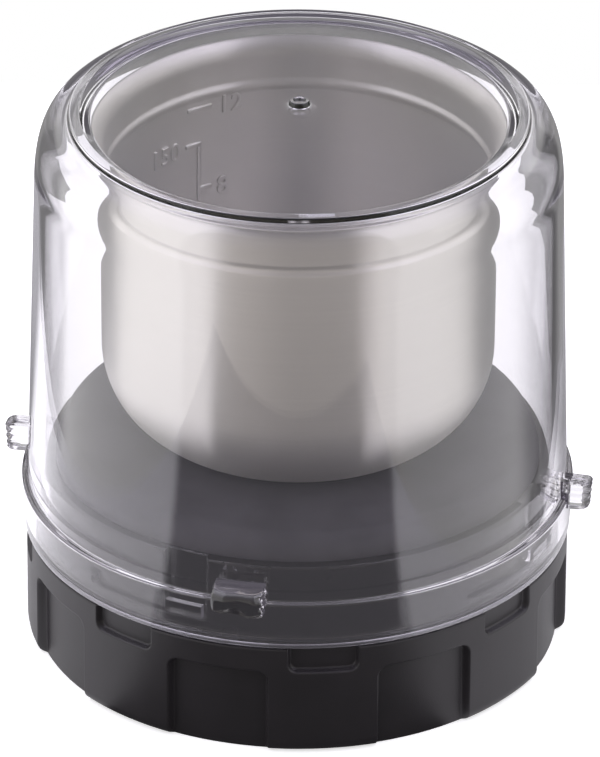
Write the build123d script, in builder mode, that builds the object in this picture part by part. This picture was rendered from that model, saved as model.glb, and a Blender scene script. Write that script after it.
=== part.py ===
from build123d import *
import os
from math import cos, degrees, radians, sin, sqrt, tan

# Grinding cup of an electric spice grinder: a clear cup over a steel bowl, on a black base with its drive.
# Millimetres. +Z is up and the origin is the middle of the base's foot. The wide lugs lie on the Y axis,
# the narrow lugs on the X axis. Radii grow outwards from the bowl, heights grow upwards from the foot.

# ---------------------------------------------------------------- clearances
slide_gap = 0.3  # between faces that pass each other when the cup turns or lifts
rim_gap = 0.3  # cup's rim above the ledge
lip_gap = 0.5  # cup's top plate above the bowl's lip
running_fit = 0.03  # radial, round the turning shaft
press_fit = 0.01  # radial, parts assembled for good
axial_play = 0.1  # end float of the shaft
cutter_reach = 1.0  # how far cutting shapes run past what they cut

# ---------------------------------------------------------------- bowl
bowl_radius = 36.5  # outside
bowl_height = 60.2
bowl_sheet = 0.8
bowl_corner = 18.5  # outside radius of the rounded bottom
lip_flare_radius = 3.3
lip_flare_angle = 65.0
bead_drop = 9.0  # from the lip to the middle of the bead
bead_depth = 0.7
bead_height = 2.6

# ---------------------------------------------------------------- clear cup
bowl_cup_gap = 9.5  # bowl wall to the cup's inside, at the shoulder
cup_wall = 2.8
cup_draft = 1.7  # radius that the wall loses from the skirt to the shoulder
shoulder_height = 14.4
shoulder_width = 6.3
shoulder_fullness = 0.68  # 0.55 is nearly an ellipse, 1 a square corner
ring_lip = 0.9  # ring's top above the shoulder
ring_rise = 1.3  # ring's top above the edge of the top plate
ring_width = 2.3
ring_edge = 0.5
ring_slope = 1.7  # width of the slope from the ring down to the plate
plate_thickness = 2.7
crown = 2.6  # rise of the top plate to its middle
pip_radius = 2.0
pip_height = 1.0
skirt_height = 9.65
skirt_proud = 1.15  # skirt beyond the wall, at its upper edge
skirt_taper = 0.5  # how much less it stands out at the rim
skirt_edge = 0.7

# ---------------------------------------------------------------- locking lugs
lug_reach = 5.5  # beyond the wall, at the lug's top
lug_taper = 0.4  # reach lost towards its underside
lug_height = 5.6
lug_rise = 7.8  # rim of the cup to the lug's underside
wide_lug = 9.8
narrow_lug = 4.2
lug_lead_edge = 2.0
lug_edge = 0.6
lug_root = 1.2  # depth of the lug inside the wall
notch_width = 4.4  # detent under a wide lug
notch_depth = 1.1
notch_offset = 0.8

# ---------------------------------------------------------------- bayonet
tab_count = 4
tab_azimuth = -103.4  # degrees, first tab
tab_width = 7.0
tab_reach = 1.4
tab_height = 2.4
tab_rise = 3.6  # rim of the cup to the tab's underside
bayonet_turn = 20.0  # degrees from the open place to the locked one
channel_gap = 0.6  # beside a tab

# ---------------------------------------------------------------- base shell
cup_collar_gap = 0.4
ledge_width = 3.5
ledge_edge = 0.5
grip_height = 22.1
grip_wall = 4.6
foot_rounding = 3.0
floor_thickness = 2.4
floor_opening = 24.0  # radius
collar_rise = 15.9
collar_wall = 3.4
grip_count = 8
recess_azimuth = -95.2  # degrees, first recess
recess_width = 19.0
recess_depth = 1.8
recess_drop = 5.1  # from the ledge to a recess
recess_corner = 2.0
slot_azimuth = -72.7  # degrees, first finger slot
slot_width = 12.8
slot_depth = 1.3
slot_height = 4.8
slot_corner = 1.5

# ---------------------------------------------------------------- cup seal
seal_width = 1.0
seal_groove_depth = 1.2

# ---------------------------------------------------------------- deck
deck_rise = 5.0  # dome above the collar
deck_step = 2.0  # dome inside the collar's outside
deck_wall = 2.4
deck_edge_width = 3.5
deck_edge_height = 4.2
spigot_depth = 5.0
well_depth = 2.0
well_margin = 2.0  # well's floor beyond the flat of the bowl's bottom
well_slope = 5.5
hub_depth = 4.4
rib_count = 4
rib_azimuth = 45.0
rib_thickness = 1.8

# ---------------------------------------------------------------- gasket and bearing housing
gasket_thickness = 1.0
gasket_inner = 9.5
gasket_width = 6.5
shank_radius = 6.4
shank_gap = 0.1
flange_reach = 3.4
flange_thickness = 1.8
nose_height = 5.2  # above the bowl's inside
housing_tail = 15.0  # below the deck's hub
washer_thickness = 1.0
washer_reach = 4.4
nut_height = 3.0
nut_flat_reach = 3.6  # flats beyond the shank

# ---------------------------------------------------------------- shaft, bushes and seal
shaft_radius = 3.0
shaft_relief = 0.6
bush_wall = 1.5
bush_length = 8.0
bush_flange_reach = 1.5
bush_flange_thickness = 1.0
lip_seal_height = 2.0
lip_seal_wall = 2.0
shaft_rise = 1.7  # shoulder above the housing
flat_depth = 0.9
thread_radius = 2.0
thread_end_gap = 0.3

# ---------------------------------------------------------------- blades
blade_thickness = 1.2
blade_hub_radius = 6.4
blade_width = 8.0
blade_tip_corner = 2.5
blade_bevel = 0.8
blade_bevel_width = 2.6
blade_hole_gap = 0.05
lower_blade_reach = 26.0
lower_blade_slope = -8.0  # degrees from level
upper_blade_reach = 22.0
upper_blade_slope = 28.0  # degrees from level
spacer_height = 3.0
spacer_radius = 5.2
blade_washer_radius = 5.2
blade_washer_thickness = 1.0
blade_nut_width = 8.0  # across flats
blade_nut_height = 4.0
blade_nut_dome = 2.6

# ---------------------------------------------------------------- drive end
thrust_thickness = 1.0
thrust_reach = 3.0
clip_thickness = 0.8
clip_depth = 0.6
clip_reach = 2.2
clip_opening = 3.6
coupling_radius = 11.0
coupling_web = 4.6
coupling_skirt = 8.0
socket_radius = 6.5
socket_slot_count = 4
socket_slot_width = 2.0
socket_slot_depth = 1.8
shaft_inset = 0.3  # shaft's end inside the web
pin_radius = 1.0
pin_inset = 1.2  # pin's end inside the coupling

# ---------------------------------------------------------------- bottom plate and screws
plate_lift = 2.4
plate_sheet = 2.0
well_gap = 6.0  # round the coupling
well_wall = 1.6
well_height = 8.2
boss_radius = 3.8
screw_count = 4
screw_radius = 1.5
screw_hole_gap = 0.2
screw_bite = 9.0
screw_tip_gap = 0.5
screw_head_radius = 2.8
screw_head_height = 1.8
driver_width = 1.0
driver_length = 3.6
driver_depth = 0.9
deck_screw_circle = 34.0
deck_screw_azimuth = 0.0
plate_screw_circle = 38.0
plate_screw_azimuth = 45.0

# ---------------------------------------------------------------- radii that follow
shoulder_bore = bowl_radius + bowl_cup_gap
cup_bore = shoulder_bore + cup_draft
cup_radius = cup_bore + cup_wall
shoulder_radius = cup_radius - cup_draft
ring_radius = shoulder_radius - shoulder_width
plate_radius = ring_radius - ring_width - ring_slope
collar_radius = cup_bore - cup_collar_gap
collar_inner = collar_radius - collar_wall
channel_floor = cup_bore - tab_reach - slide_gap
grip_radius = collar_radius + ledge_width
grip_inner = grip_radius - grip_wall
groove_outer = collar_radius + seal_width + 2 * slide_gap
deck_radius = collar_radius - deck_step
spigot_radius = collar_inner - slide_gap
spigot_inner = spigot_radius - deck_wall
well_floor_radius = bowl_radius - bowl_corner + well_margin
hub_hole = shank_radius + shank_gap
bush_radius = shaft_radius + bush_wall
flat_reach = shaft_radius - flat_depth
clip_groove = shaft_radius - clip_depth
lip_seal_radius = shaft_radius + lip_seal_wall
well_radius = coupling_radius + well_gap

# ---------------------------------------------------------------- heights that follow
collar_top = grip_height + collar_rise
floor_under = grip_height - floor_thickness
deck_top = collar_top + deck_rise
deck_under = deck_top - deck_wall
well_floor = deck_top - well_depth
hub_under = well_floor - hub_depth
bowl_base = well_floor + gasket_thickness
bowl_inside = bowl_base + bowl_sheet
bowl_top = bowl_base + bowl_height
rim_height = grip_height + rim_gap
skirt_top = rim_height + skirt_height
plate_under = bowl_top + lip_gap
plate_edge = plate_under + plate_thickness
ring_top = plate_edge + ring_rise
shoulder_top = ring_top - ring_lip
shoulder_base = shoulder_top - shoulder_height
lug_under = rim_height + lug_rise
tab_under = rim_height + tab_rise
tab_top = tab_under + tab_height
flange_top = bowl_inside + flange_thickness
housing_top = bowl_inside + nose_height
housing_under = hub_under - housing_tail
lip_seal_base = housing_top - lip_seal_height
upper_bush_base = lip_seal_base - bush_length
lower_bush_top = housing_under + bush_length
blade_base = housing_top + shaft_rise
lower_blade_top = blade_base + blade_thickness
spacer_top = lower_blade_top + spacer_height
upper_blade_top = spacer_top + blade_thickness
blade_stack_top = upper_blade_top + blade_washer_thickness
blade_nut_top = blade_stack_top + blade_nut_height
bush_flange_under = housing_under - bush_flange_thickness
thrust_top = bush_flange_under - axial_play
thrust_under = thrust_top - thrust_thickness
coupling_top = thrust_under - clip_thickness
web_under = coupling_top - coupling_web
coupling_under = web_under - coupling_skirt
pin_height = web_under + coupling_web / 2
plate_top = plate_lift + plate_sheet


# ---------------------------------------------------------------- shapes that several pieces share
def crown_height(radius, rise, at):
    """How far a shallow dome of this radius and rise stands above its edge, at a given radius."""
    sphere = (radius**2 + rise**2) / (2 * rise)
    return rise - sphere + sqrt(sphere**2 - at**2)


def crown_arc(radius, height, rise, stop):
    """Section of such a dome, from its edge inwards to the radius where it stops."""
    half = (radius + stop) / 2
    ThreePointArc(
        (radius, height),
        (half, height + crown_height(radius, rise, half)),
        (stop, height + crown_height(radius, rise, stop)),
    )


def outer_corner(radius, top, rounding):
    """Rounded corner of a section between its outer side and its top."""
    TangentArc((radius, top - rounding), (radius - rounding, top), tangent=(0, 1))


def tube(inner, outer, bottom, top):
    """Plain ring between two heights, added to the part being built."""
    with BuildSketch(Plane.XY.offset(bottom)) as section:
        Circle(outer)
        Circle(inner, mode=Mode.SUBTRACT)
    extrude(section.sketch, amount=top - bottom)


def ring_piece(start, stop, inner, outer, bottom, top):
    """Piece of a ring between two azimuths."""
    with BuildPart() as piece:
        with BuildSketch(Plane.XZ):
            with Locations(((inner + outer) / 2, (bottom + top) / 2)):
                Rectangle(outer - inner, top - bottom)
        revolve(axis=Axis.Z, revolution_arc=stop - start)
    return piece.part.rotate(Axis.Z, start)


def wall_pocket(width, bottom, top, corner, floor_radius, outer_radius):
    """Cutter on the +X side for a pocket in a round wall: rounded outline, floor concentric with the wall."""
    with BuildPart() as pocket:
        with BuildSketch(Plane.YZ):
            with Locations((0, (bottom + top) / 2)):
                RectangleRounded(width, top - bottom, corner)
        extrude(amount=outer_radius + cutter_reach)
        with BuildSketch(Plane.XY.offset(bottom - cutter_reach)):
            Circle(floor_radius)
        extrude(amount=top - bottom + 2 * cutter_reach, mode=Mode.SUBTRACT)
    return pocket.part


def locking_lug(width, notched):
    """Lug on the +X side: its reach tapers downwards, its lead-in end is rounder, a wide one has a detent."""
    tip = cup_radius + lug_reach
    with BuildPart() as lug:
        with BuildSketch(Plane.XZ):
            with BuildLine():
                Polyline(
                    (cup_radius - lug_root, lug_under),
                    (tip - lug_taper, lug_under),
                    (tip, lug_under + lug_height),
                    (cup_radius - lug_root, lug_under + lug_height),
                    close=True,
                )
            make_face()
        extrude(amount=width / 2, both=True)
        tip_edges = lug.edges().filter_by(lambda e: e.center().X > tip - lug_taper)
        fillet(tip_edges.sort_by(Axis.Y)[0], lug_lead_edge)
        tip_edges = lug.edges().filter_by(lambda e: e.center().X > tip - lug_taper)
        fillet(tip_edges.sort_by(Axis.Y)[-1], lug_edge)
        if notched:
            notch_radius = ((notch_width / 2) ** 2 + notch_depth**2) / (2 * notch_depth)
            with BuildSketch(Plane.YZ.offset(cup_radius + skirt_proud)):
                with Locations((-notch_offset, lug_under + notch_depth - notch_radius)):
                    Circle(notch_radius)
            extrude(amount=lug_reach, mode=Mode.SUBTRACT)
    return lug.part


def blade_arm(height, slope, reach):
    """Arm on the +X side with its underside at this height: level to the hub's edge, then sloping."""
    rise = (reach - blade_hub_radius) * tan(radians(slope))
    top = height + blade_thickness
    with BuildPart() as arm:
        with BuildSketch(Plane.XZ):
            with BuildLine():
                Polyline(
                    (0, height),
                    (blade_hub_radius, height),
                    (reach, height + rise),
                    (reach, top + rise),
                    (blade_hub_radius, top),
                    (0, top),
                    close=True,
                )
            make_face()
        extrude(amount=blade_width / 2, both=True)
        lead = arm.faces().sort_by(Axis.Y)[-1].edges().filter_by(lambda e: e.center().X > blade_hub_radius)
        edge = lead.filter_by(lambda e: e.length > reach - 2 * blade_hub_radius).sort_by(Axis.Z)[-1]
        chamfer(edge, blade_bevel, blade_bevel_width, reference=arm.faces().sort_by(Axis.Y)[-1])
        with BuildSketch(Plane.XY.offset(min(height, height + rise) - cutter_reach)):
            Rectangle(2 * reach, blade_width)
            fillet(vertices(), blade_tip_corner)
        extrude(amount=abs(rise) + blade_thickness + 2 * cutter_reach, mode=Mode.INTERSECT)
    return arm.part


def flats_hole(gap, bottom, top):
    """Hole with two flats through the part being built, over the shaft's flats."""
    with BuildSketch(Plane.XY.offset(bottom)) as section:
        Circle(shaft_radius + gap)
        Rectangle(2 * (shaft_radius + gap), 2 * (flat_reach + gap), mode=Mode.INTERSECT)
    extrude(section.sketch, amount=top - bottom, mode=Mode.SUBTRACT)


def screw(grip):
    """Pan-head screw standing on its head's seat at the origin, through this grip and into its boss."""
    with BuildPart() as fastener:
        with BuildSketch():
            Circle(screw_radius)
        extrude(amount=grip + screw_bite)
        with BuildSketch(Plane.XY.offset(-screw_head_height)):
            Circle(screw_head_radius)
        extrude(amount=screw_head_height)
        with BuildSketch(Plane.XY.offset(-screw_head_height)):
            Rectangle(driver_length, driver_width)
            Rectangle(driver_width, driver_length)
        extrude(amount=driver_depth, mode=Mode.SUBTRACT)
    return fastener.part


def screw_holes(circle, azimuth, bottom, depth, radius):
    """Pattern of screw holes cut upwards into the part being built."""
    with BuildSketch(Plane.XY.offset(bottom)) as section:
        with PolarLocations(circle, screw_count, start_angle=azimuth):
            Circle(radius)
    extrude(section.sketch, amount=depth, mode=Mode.SUBTRACT)


os.makedirs("parts", exist_ok=True)

# ================================================================ clear cup
# Moulded in one shot: drafted wall, full shoulder, raised ring, crowned top plate and a gate pip.
wide_lug_part = locking_lug(wide_lug, True)
narrow_lug_part = locking_lug(narrow_lug, False)
tab_half_angle = degrees(tab_width / 2 / cup_bore)
tab = ring_piece(
    tab_azimuth - tab_half_angle,
    tab_azimuth + tab_half_angle,
    cup_bore - tab_reach,
    cup_bore + cup_wall / 2,
    tab_under,
    tab_top,
)
with BuildPart() as clear_cup:
    skirt_radius = cup_radius + skirt_proud
    inner_edge = ring_radius - plate_thickness
    pip_base = plate_edge + crown_height(plate_radius, crown, pip_radius)
    with BuildSketch(Plane.XZ):
        with BuildLine():
            Line((cup_bore, rim_height), (skirt_radius - skirt_taper, rim_height))
            Line((skirt_radius - skirt_taper, rim_height), (skirt_radius, skirt_top - skirt_edge))
            outer_corner(skirt_radius, skirt_top, skirt_edge)
            Line((skirt_radius - skirt_edge, skirt_top), (cup_radius, skirt_top))
            Line((cup_radius, skirt_top), (shoulder_radius, shoulder_base))
            Bezier(
                (shoulder_radius, shoulder_base),
                (shoulder_radius, shoulder_base + shoulder_fullness * shoulder_height),
                (ring_radius + shoulder_fullness * shoulder_width, shoulder_top),
                (ring_radius, shoulder_top),
            )
            Line((ring_radius, shoulder_top), (ring_radius, ring_top - ring_edge))
            outer_corner(ring_radius, ring_top, ring_edge)
            Line((ring_radius - ring_edge, ring_top), (ring_radius - ring_width, ring_top))
            Line((ring_radius - ring_width, ring_top), (plate_radius, plate_edge))
            crown_arc(plate_radius, plate_edge, crown, pip_radius)
            crown_arc(pip_radius, pip_base, pip_height, 0)
            Line((0, pip_base + pip_height), (0, plate_under + crown))
            crown_arc(inner_edge, plate_under, crown, 0)
            Bezier(
                (inner_edge, plate_under),
                (inner_edge + shoulder_fullness * (shoulder_bore - inner_edge), plate_under),
                (shoulder_bore, shoulder_base + shoulder_fullness * (plate_under - shoulder_base)),
                (shoulder_bore, shoulder_base),
            )
            Line((shoulder_bore, shoulder_base), (cup_bore, collar_top + cup_collar_gap))
            Line((cup_bore, collar_top + cup_collar_gap), (cup_bore, rim_height))
        make_face()
    revolve(axis=Axis.Z)
    with PolarLocations(0, 2, start_angle=90):
        add(wide_lug_part)
    with PolarLocations(0, 2):
        add(narrow_lug_part)
    with PolarLocations(0, tab_count):
        add(tab)
clear_cup.part.label = "clear_cup"
export_step(clear_cup.part, "parts/clear_cup.step")

# ================================================================ grinding bowl
# Drawn sheet: rounded bottom with a middle hole, straight wall with an inward bead, flared lip.
lip_turn = radians(lip_flare_angle)
flare_height = bowl_top - (lip_flare_radius + bowl_sheet) * sin(lip_turn)


def bowl_side(inset):
    """One side of the sheet, inset 0 outside and bowl_sheet inside; returns the flare that ends it."""
    wall = bowl_radius - inset
    corner = bowl_corner - inset
    bottom = bowl_base + inset
    flat_end = bowl_radius - bowl_corner
    bead_middle = bowl_top - bead_drop
    flare = lip_flare_radius + inset
    flare_middle = bowl_radius + lip_flare_radius
    Line((hub_hole, bottom), (flat_end, bottom))
    ThreePointArc(
        (flat_end, bottom),
        (flat_end + corner * sqrt(0.5), bottom + corner * (1 - sqrt(0.5))),
        (wall, bottom + corner),
    )
    Line((wall, bottom + corner), (wall, bead_middle - bead_height / 2))
    ThreePointArc(
        (wall, bead_middle - bead_height / 2),
        (wall - bead_depth, bead_middle),
        (wall, bead_middle + bead_height / 2),
    )
    Line((wall, bead_middle + bead_height / 2), (wall, flare_height))
    return ThreePointArc(
        (wall, flare_height),
        (flare_middle - flare * cos(lip_turn / 2), flare_height + flare * sin(lip_turn / 2)),
        (flare_middle - flare * cos(lip_turn), flare_height + flare * sin(lip_turn)),
    )


with BuildPart() as grinding_bowl:
    with BuildSketch(Plane.XZ):
        with BuildLine():
            outside = bowl_side(0)
            inside = bowl_side(bowl_sheet)
            Line((hub_hole, bowl_base), (hub_hole, bowl_inside))
            Line(outside @ 1, inside @ 1)
        make_face()
    revolve(axis=Axis.Z)
grinding_bowl.part.label = "grinding_bowl"
export_step(grinding_bowl.part, "parts/grinding_bowl.step")

# ================================================================ base shell
# Grip wall on a rounded foot, a ledge with a seal groove, a collar inside the cup, a floor and screw bosses.
recess = wall_pocket(
    recess_width,
    -recess_drop,
    grip_height - recess_drop,
    recess_corner,
    grip_radius - recess_depth,
    grip_radius,
)
finger_slot = wall_pocket(
    slot_width,
    grip_height - slot_height,
    grip_height + slot_height,
    slot_corner,
    grip_radius - slot_depth,
    grip_radius,
)
channel_half_angle = degrees((tab_width / 2 + channel_gap) / cup_bore)
channel_entry = ring_piece(
    tab_azimuth - channel_half_angle,
    tab_azimuth + channel_half_angle,
    channel_floor,
    collar_radius + cutter_reach,
    tab_under - slide_gap,
    collar_top + cutter_reach,
)
channel_run = ring_piece(
    tab_azimuth - channel_half_angle - bayonet_turn,
    tab_azimuth + channel_half_angle,
    channel_floor,
    collar_radius + cutter_reach,
    tab_under - slide_gap,
    tab_top + slide_gap,
)
with BuildPart() as base_shell:
    with BuildSketch(Plane.XZ):
        with BuildLine():
            TangentArc((grip_radius - foot_rounding, 0), (grip_radius, foot_rounding), tangent=(1, 0))
            Line((grip_radius, foot_rounding), (grip_radius, grip_height - ledge_edge))
            outer_corner(grip_radius, grip_height, ledge_edge)
            Polyline(
                (grip_radius - ledge_edge, grip_height),
                (groove_outer, grip_height),
                (groove_outer, grip_height - seal_groove_depth),
                (collar_radius, grip_height - seal_groove_depth),
                (collar_radius, collar_top - ledge_edge),
                (collar_radius - ledge_edge, collar_top),
                (collar_inner, collar_top),
                (collar_inner, grip_height),
                (floor_opening, grip_height),
                (floor_opening, floor_under),
                (grip_inner, floor_under),
                (grip_inner, 0),
                (grip_radius - foot_rounding, 0),
            )
        make_face()
    revolve(axis=Axis.Z)
    with BuildSketch(Plane.XY.offset(plate_top)):
        with PolarLocations(plate_screw_circle, screw_count, start_angle=plate_screw_azimuth):
            Circle(boss_radius)
    extrude(amount=floor_under - plate_top)
    with PolarLocations(0, grip_count, start_angle=recess_azimuth):
        add(recess, mode=Mode.SUBTRACT)
    with PolarLocations(0, grip_count, start_angle=slot_azimuth):
        add(finger_slot, mode=Mode.SUBTRACT)
    with PolarLocations(0, tab_count):
        add(channel_entry, mode=Mode.SUBTRACT)
        add(channel_run, mode=Mode.SUBTRACT)
    boss_hole = screw_radius + press_fit
    screw_holes(plate_screw_circle, plate_screw_azimuth, plate_top, screw_bite + screw_tip_gap, boss_hole)
    floor_hole = screw_radius + screw_hole_gap
    screw_holes(deck_screw_circle, deck_screw_azimuth, floor_under, floor_thickness, floor_hole)
base_shell.part.label = "base_shell"
export_step(base_shell.part, "parts/base_shell.step")

# ================================================================ cup seal
# Soft ring in the ledge's groove, just under the cup's rim.
with BuildPart() as cup_seal:
    tube(
        collar_radius + slide_gap,
        groove_outer - slide_gap,
        grip_height - seal_groove_depth,
        rim_height - axial_play,
    )
cup_seal.part.label = "cup_seal"
export_step(cup_seal.part, "parts/cup_seal.step")

# ================================================================ deck
# Dome on the collar with a shallow well for the bowl, a hub, radial ribs and screw bosses to the floor.
with BuildPart() as deck:
    with BuildSketch(Plane.XZ):
        with BuildLine():
            edge_base = deck_top - deck_edge_height
            edge_end = deck_radius - deck_edge_width
            Polyline(
                (spigot_inner, collar_top - spigot_depth),
                (spigot_radius, collar_top - spigot_depth),
                (spigot_radius, collar_top),
                (deck_radius, collar_top),
                (deck_radius, edge_base),
            )
            Bezier(
                (deck_radius, edge_base),
                (deck_radius, edge_base + 0.55 * deck_edge_height),
                (edge_end + 0.55 * deck_edge_width, deck_top),
                (edge_end, deck_top),
            )
            Polyline(
                (edge_end, deck_top),
                (well_floor_radius + well_slope, deck_top),
                (well_floor_radius, well_floor),
                (hub_hole, well_floor),
                (hub_hole, hub_under),
                (well_floor_radius, hub_under),
                (well_floor_radius, well_floor - deck_wall),
                (well_floor_radius + well_slope, deck_under),
                (spigot_inner, deck_under),
                (spigot_inner, collar_top - spigot_depth),
            )
        make_face()
    revolve(axis=Axis.Z)
    with BuildSketch(Plane.XY.offset(hub_under)):
        rib_inner = well_floor_radius - rib_thickness
        rib_outer = spigot_inner + deck_wall / 2
        with PolarLocations((rib_inner + rib_outer) / 2, rib_count, start_angle=rib_azimuth):
            Rectangle(rib_outer - rib_inner, rib_thickness)
    extrude(amount=deck_under - hub_under)
    with BuildSketch(Plane.XY.offset(grip_height)):
        with PolarLocations(deck_screw_circle, screw_count, start_angle=deck_screw_azimuth):
            Circle(boss_radius)
    extrude(amount=deck_under - grip_height)
    boss_hole = screw_radius + press_fit
    screw_holes(deck_screw_circle, deck_screw_azimuth, grip_height, screw_bite + screw_tip_gap, boss_hole)
deck.part.label = "deck"
export_step(deck.part, "parts/deck.step")

# ================================================================ bowl gasket
with BuildPart() as bowl_gasket:
    tube(gasket_inner, gasket_inner + gasket_width, well_floor, bowl_base)
bowl_gasket.part.label = "bowl_gasket"
export_step(bowl_gasket.part, "parts/bowl_gasket.step")

# ================================================================ bearing housing
# Turned sleeve: flange on the bowl's inside, nose with the seal's counterbore, shank through bowl and deck.
with BuildPart() as bearing_housing:
    with BuildSketch(Plane.XZ):
        with BuildLine():
            Polyline(
                (bush_radius + press_fit, housing_under),
                (shank_radius, housing_under),
                (shank_radius, bowl_inside),
                (shank_radius + flange_reach, bowl_inside),
                (shank_radius + flange_reach, flange_top),
                (shank_radius, flange_top),
                (shank_radius, housing_top),
                (lip_seal_radius + press_fit, housing_top),
                (lip_seal_radius + press_fit, lip_seal_base),
                (bush_radius + press_fit, lip_seal_base),
                (bush_radius + press_fit, upper_bush_base),
                (shaft_radius + shaft_relief, upper_bush_base),
                (shaft_radius + shaft_relief, lower_bush_top),
                (bush_radius + press_fit, lower_bush_top),
                close=True,
            )
        make_face()
    revolve(axis=Axis.Z)
bearing_housing.part.label = "bearing_housing"
export_step(bearing_housing.part, "parts/bearing_housing.step")

# ================================================================ washer and nut under the hub
washer_under = hub_under - washer_thickness
with BuildPart() as nut_washer:
    tube(hub_hole, shank_radius + washer_reach, washer_under, hub_under)
nut_washer.part.label = "nut_washer"
export_step(nut_washer.part, "parts/nut_washer.step")

with BuildPart() as housing_nut:
    with BuildSketch(Plane.XY.offset(washer_under - nut_height)):
        RegularPolygon(shank_radius + nut_flat_reach, 6, major_radius=False)
        Circle(shank_radius + press_fit, mode=Mode.SUBTRACT)
    extrude(amount=nut_height)
housing_nut.part.label = "housing_nut"
export_step(housing_nut.part, "parts/housing_nut.step")

# ================================================================ bushes and lip seal
with BuildPart() as upper_bush:
    tube(shaft_radius + running_fit, bush_radius, upper_bush_base, lip_seal_base)
upper_bush.part.label = "upper_bush"
export_step(upper_bush.part, "parts/upper_bush.step")

with BuildPart() as lower_bush:
    tube(shaft_radius + running_fit, bush_radius, bush_flange_under, lower_bush_top)
    tube(shaft_radius + running_fit, bush_radius + bush_flange_reach, bush_flange_under, housing_under)
lower_bush.part.label = "lower_bush"
export_step(lower_bush.part, "parts/lower_bush.step")

with BuildPart() as shaft_seal:
    tube(shaft_radius + running_fit, lip_seal_radius, lip_seal_base, housing_top)
shaft_seal.part.label = "shaft_seal"
export_step(shaft_seal.part, "parts/shaft_seal.step")

# ================================================================ drive shaft
# Round bar with a clip groove and a cross hole below, two flats under the blades and a thread above them.
with BuildPart() as drive_shaft:
    shaft_under = web_under + shaft_inset
    with BuildSketch(Plane.XY.offset(shaft_under)):
        Circle(shaft_radius)
    extrude(amount=blade_base - shaft_under)
    with BuildSketch(Plane.XY.offset(blade_base)):
        Circle(shaft_radius)
        Rectangle(2 * shaft_radius, 2 * flat_reach, mode=Mode.INTERSECT)
    extrude(amount=blade_stack_top - thread_end_gap - blade_base)
    with BuildSketch(Plane.XY.offset(blade_base)):
        Circle(thread_radius)
    extrude(amount=blade_nut_top - thread_end_gap - blade_base)
    with BuildSketch(Plane.XY.offset(coupling_top)):
        Circle(shaft_radius + cutter_reach)
        Circle(clip_groove, mode=Mode.SUBTRACT)
    extrude(amount=clip_thickness, mode=Mode.SUBTRACT)
    with BuildSketch(Plane.YZ):
        with Locations((0, pin_height)):
            Circle(pin_radius + press_fit)
    extrude(amount=coupling_radius, both=True, mode=Mode.SUBTRACT)
drive_shaft.part.label = "drive_shaft"
export_step(drive_shaft.part, "parts/drive_shaft.step")

# ================================================================ blades, spacer, washer and cap nut
lower_arm = blade_arm(blade_base, lower_blade_slope, lower_blade_reach)
upper_arm = blade_arm(spacer_top, upper_blade_slope, upper_blade_reach)

with BuildPart() as lower_blade:
    tube(0.5 * shaft_radius, blade_hub_radius, blade_base, lower_blade_top)
    with PolarLocations(0, 2):
        add(lower_arm)
    flats_hole(blade_hole_gap, blade_base, lower_blade_top)
lower_blade.part.label = "lower_blade"
export_step(lower_blade.part, "parts/lower_blade.step")

with BuildPart() as blade_spacer:
    tube(0.5 * shaft_radius, spacer_radius, lower_blade_top, spacer_top)
    flats_hole(blade_hole_gap, lower_blade_top, spacer_top)
blade_spacer.part.label = "blade_spacer"
export_step(blade_spacer.part, "parts/blade_spacer.step")

with BuildPart() as upper_blade:
    tube(0.5 * shaft_radius, blade_hub_radius, spacer_top, upper_blade_top)
    with PolarLocations(0, 2, start_angle=90):
        add(upper_arm)
    flats_hole(blade_hole_gap, spacer_top, upper_blade_top)
upper_blade.part.label = "upper_blade"
export_step(upper_blade.part, "parts/upper_blade.step")

with BuildPart() as blade_washer:
    tube(0.5 * shaft_radius, blade_washer_radius, upper_blade_top, blade_stack_top)
    flats_hole(blade_hole_gap, upper_blade_top, blade_stack_top)
blade_washer.part.label = "blade_washer"
export_step(blade_washer.part, "parts/blade_washer.step")

with BuildPart() as blade_nut:
    with BuildSketch(Plane.XY.offset(blade_stack_top)):
        RegularPolygon(blade_nut_width / 2, 6, major_radius=False)
    extrude(amount=blade_nut_height)
    with BuildSketch(Plane.XZ):
        with BuildLine():
            dome_radius = blade_nut_width / 2 - slide_gap
            crown_arc(dome_radius, blade_nut_top, blade_nut_dome, 0)
            Polyline((0, blade_nut_top + blade_nut_dome), (0, blade_nut_top), (dome_radius, blade_nut_top))
        make_face()
    revolve(axis=Axis.Z)
    with BuildSketch(Plane.XY.offset(blade_stack_top)):
        Circle(thread_radius + press_fit)
    extrude(amount=blade_nut_height, mode=Mode.SUBTRACT)
blade_nut.part.label = "blade_nut"
export_step(blade_nut.part, "parts/blade_nut.step")

# ================================================================ thrust washer and retaining clip
with BuildPart() as thrust_washer:
    tube(shaft_radius + running_fit, shaft_radius + thrust_reach, thrust_under, thrust_top)
thrust_washer.part.label = "thrust_washer"
export_step(thrust_washer.part, "parts/thrust_washer.step")

with BuildPart() as retaining_clip:
    with BuildSketch(Plane.XY.offset(coupling_top)):
        Circle(shaft_radius + clip_reach)
        Circle(clip_groove + running_fit, mode=Mode.SUBTRACT)
        with Locations((0, -shaft_radius - clip_reach)):
            Rectangle(clip_opening, 2 * (shaft_radius + clip_reach), mode=Mode.SUBTRACT)
    extrude(amount=clip_thickness)
retaining_clip.part.label = "retaining_clip"
export_step(retaining_clip.part, "parts/retaining_clip.step")

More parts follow.
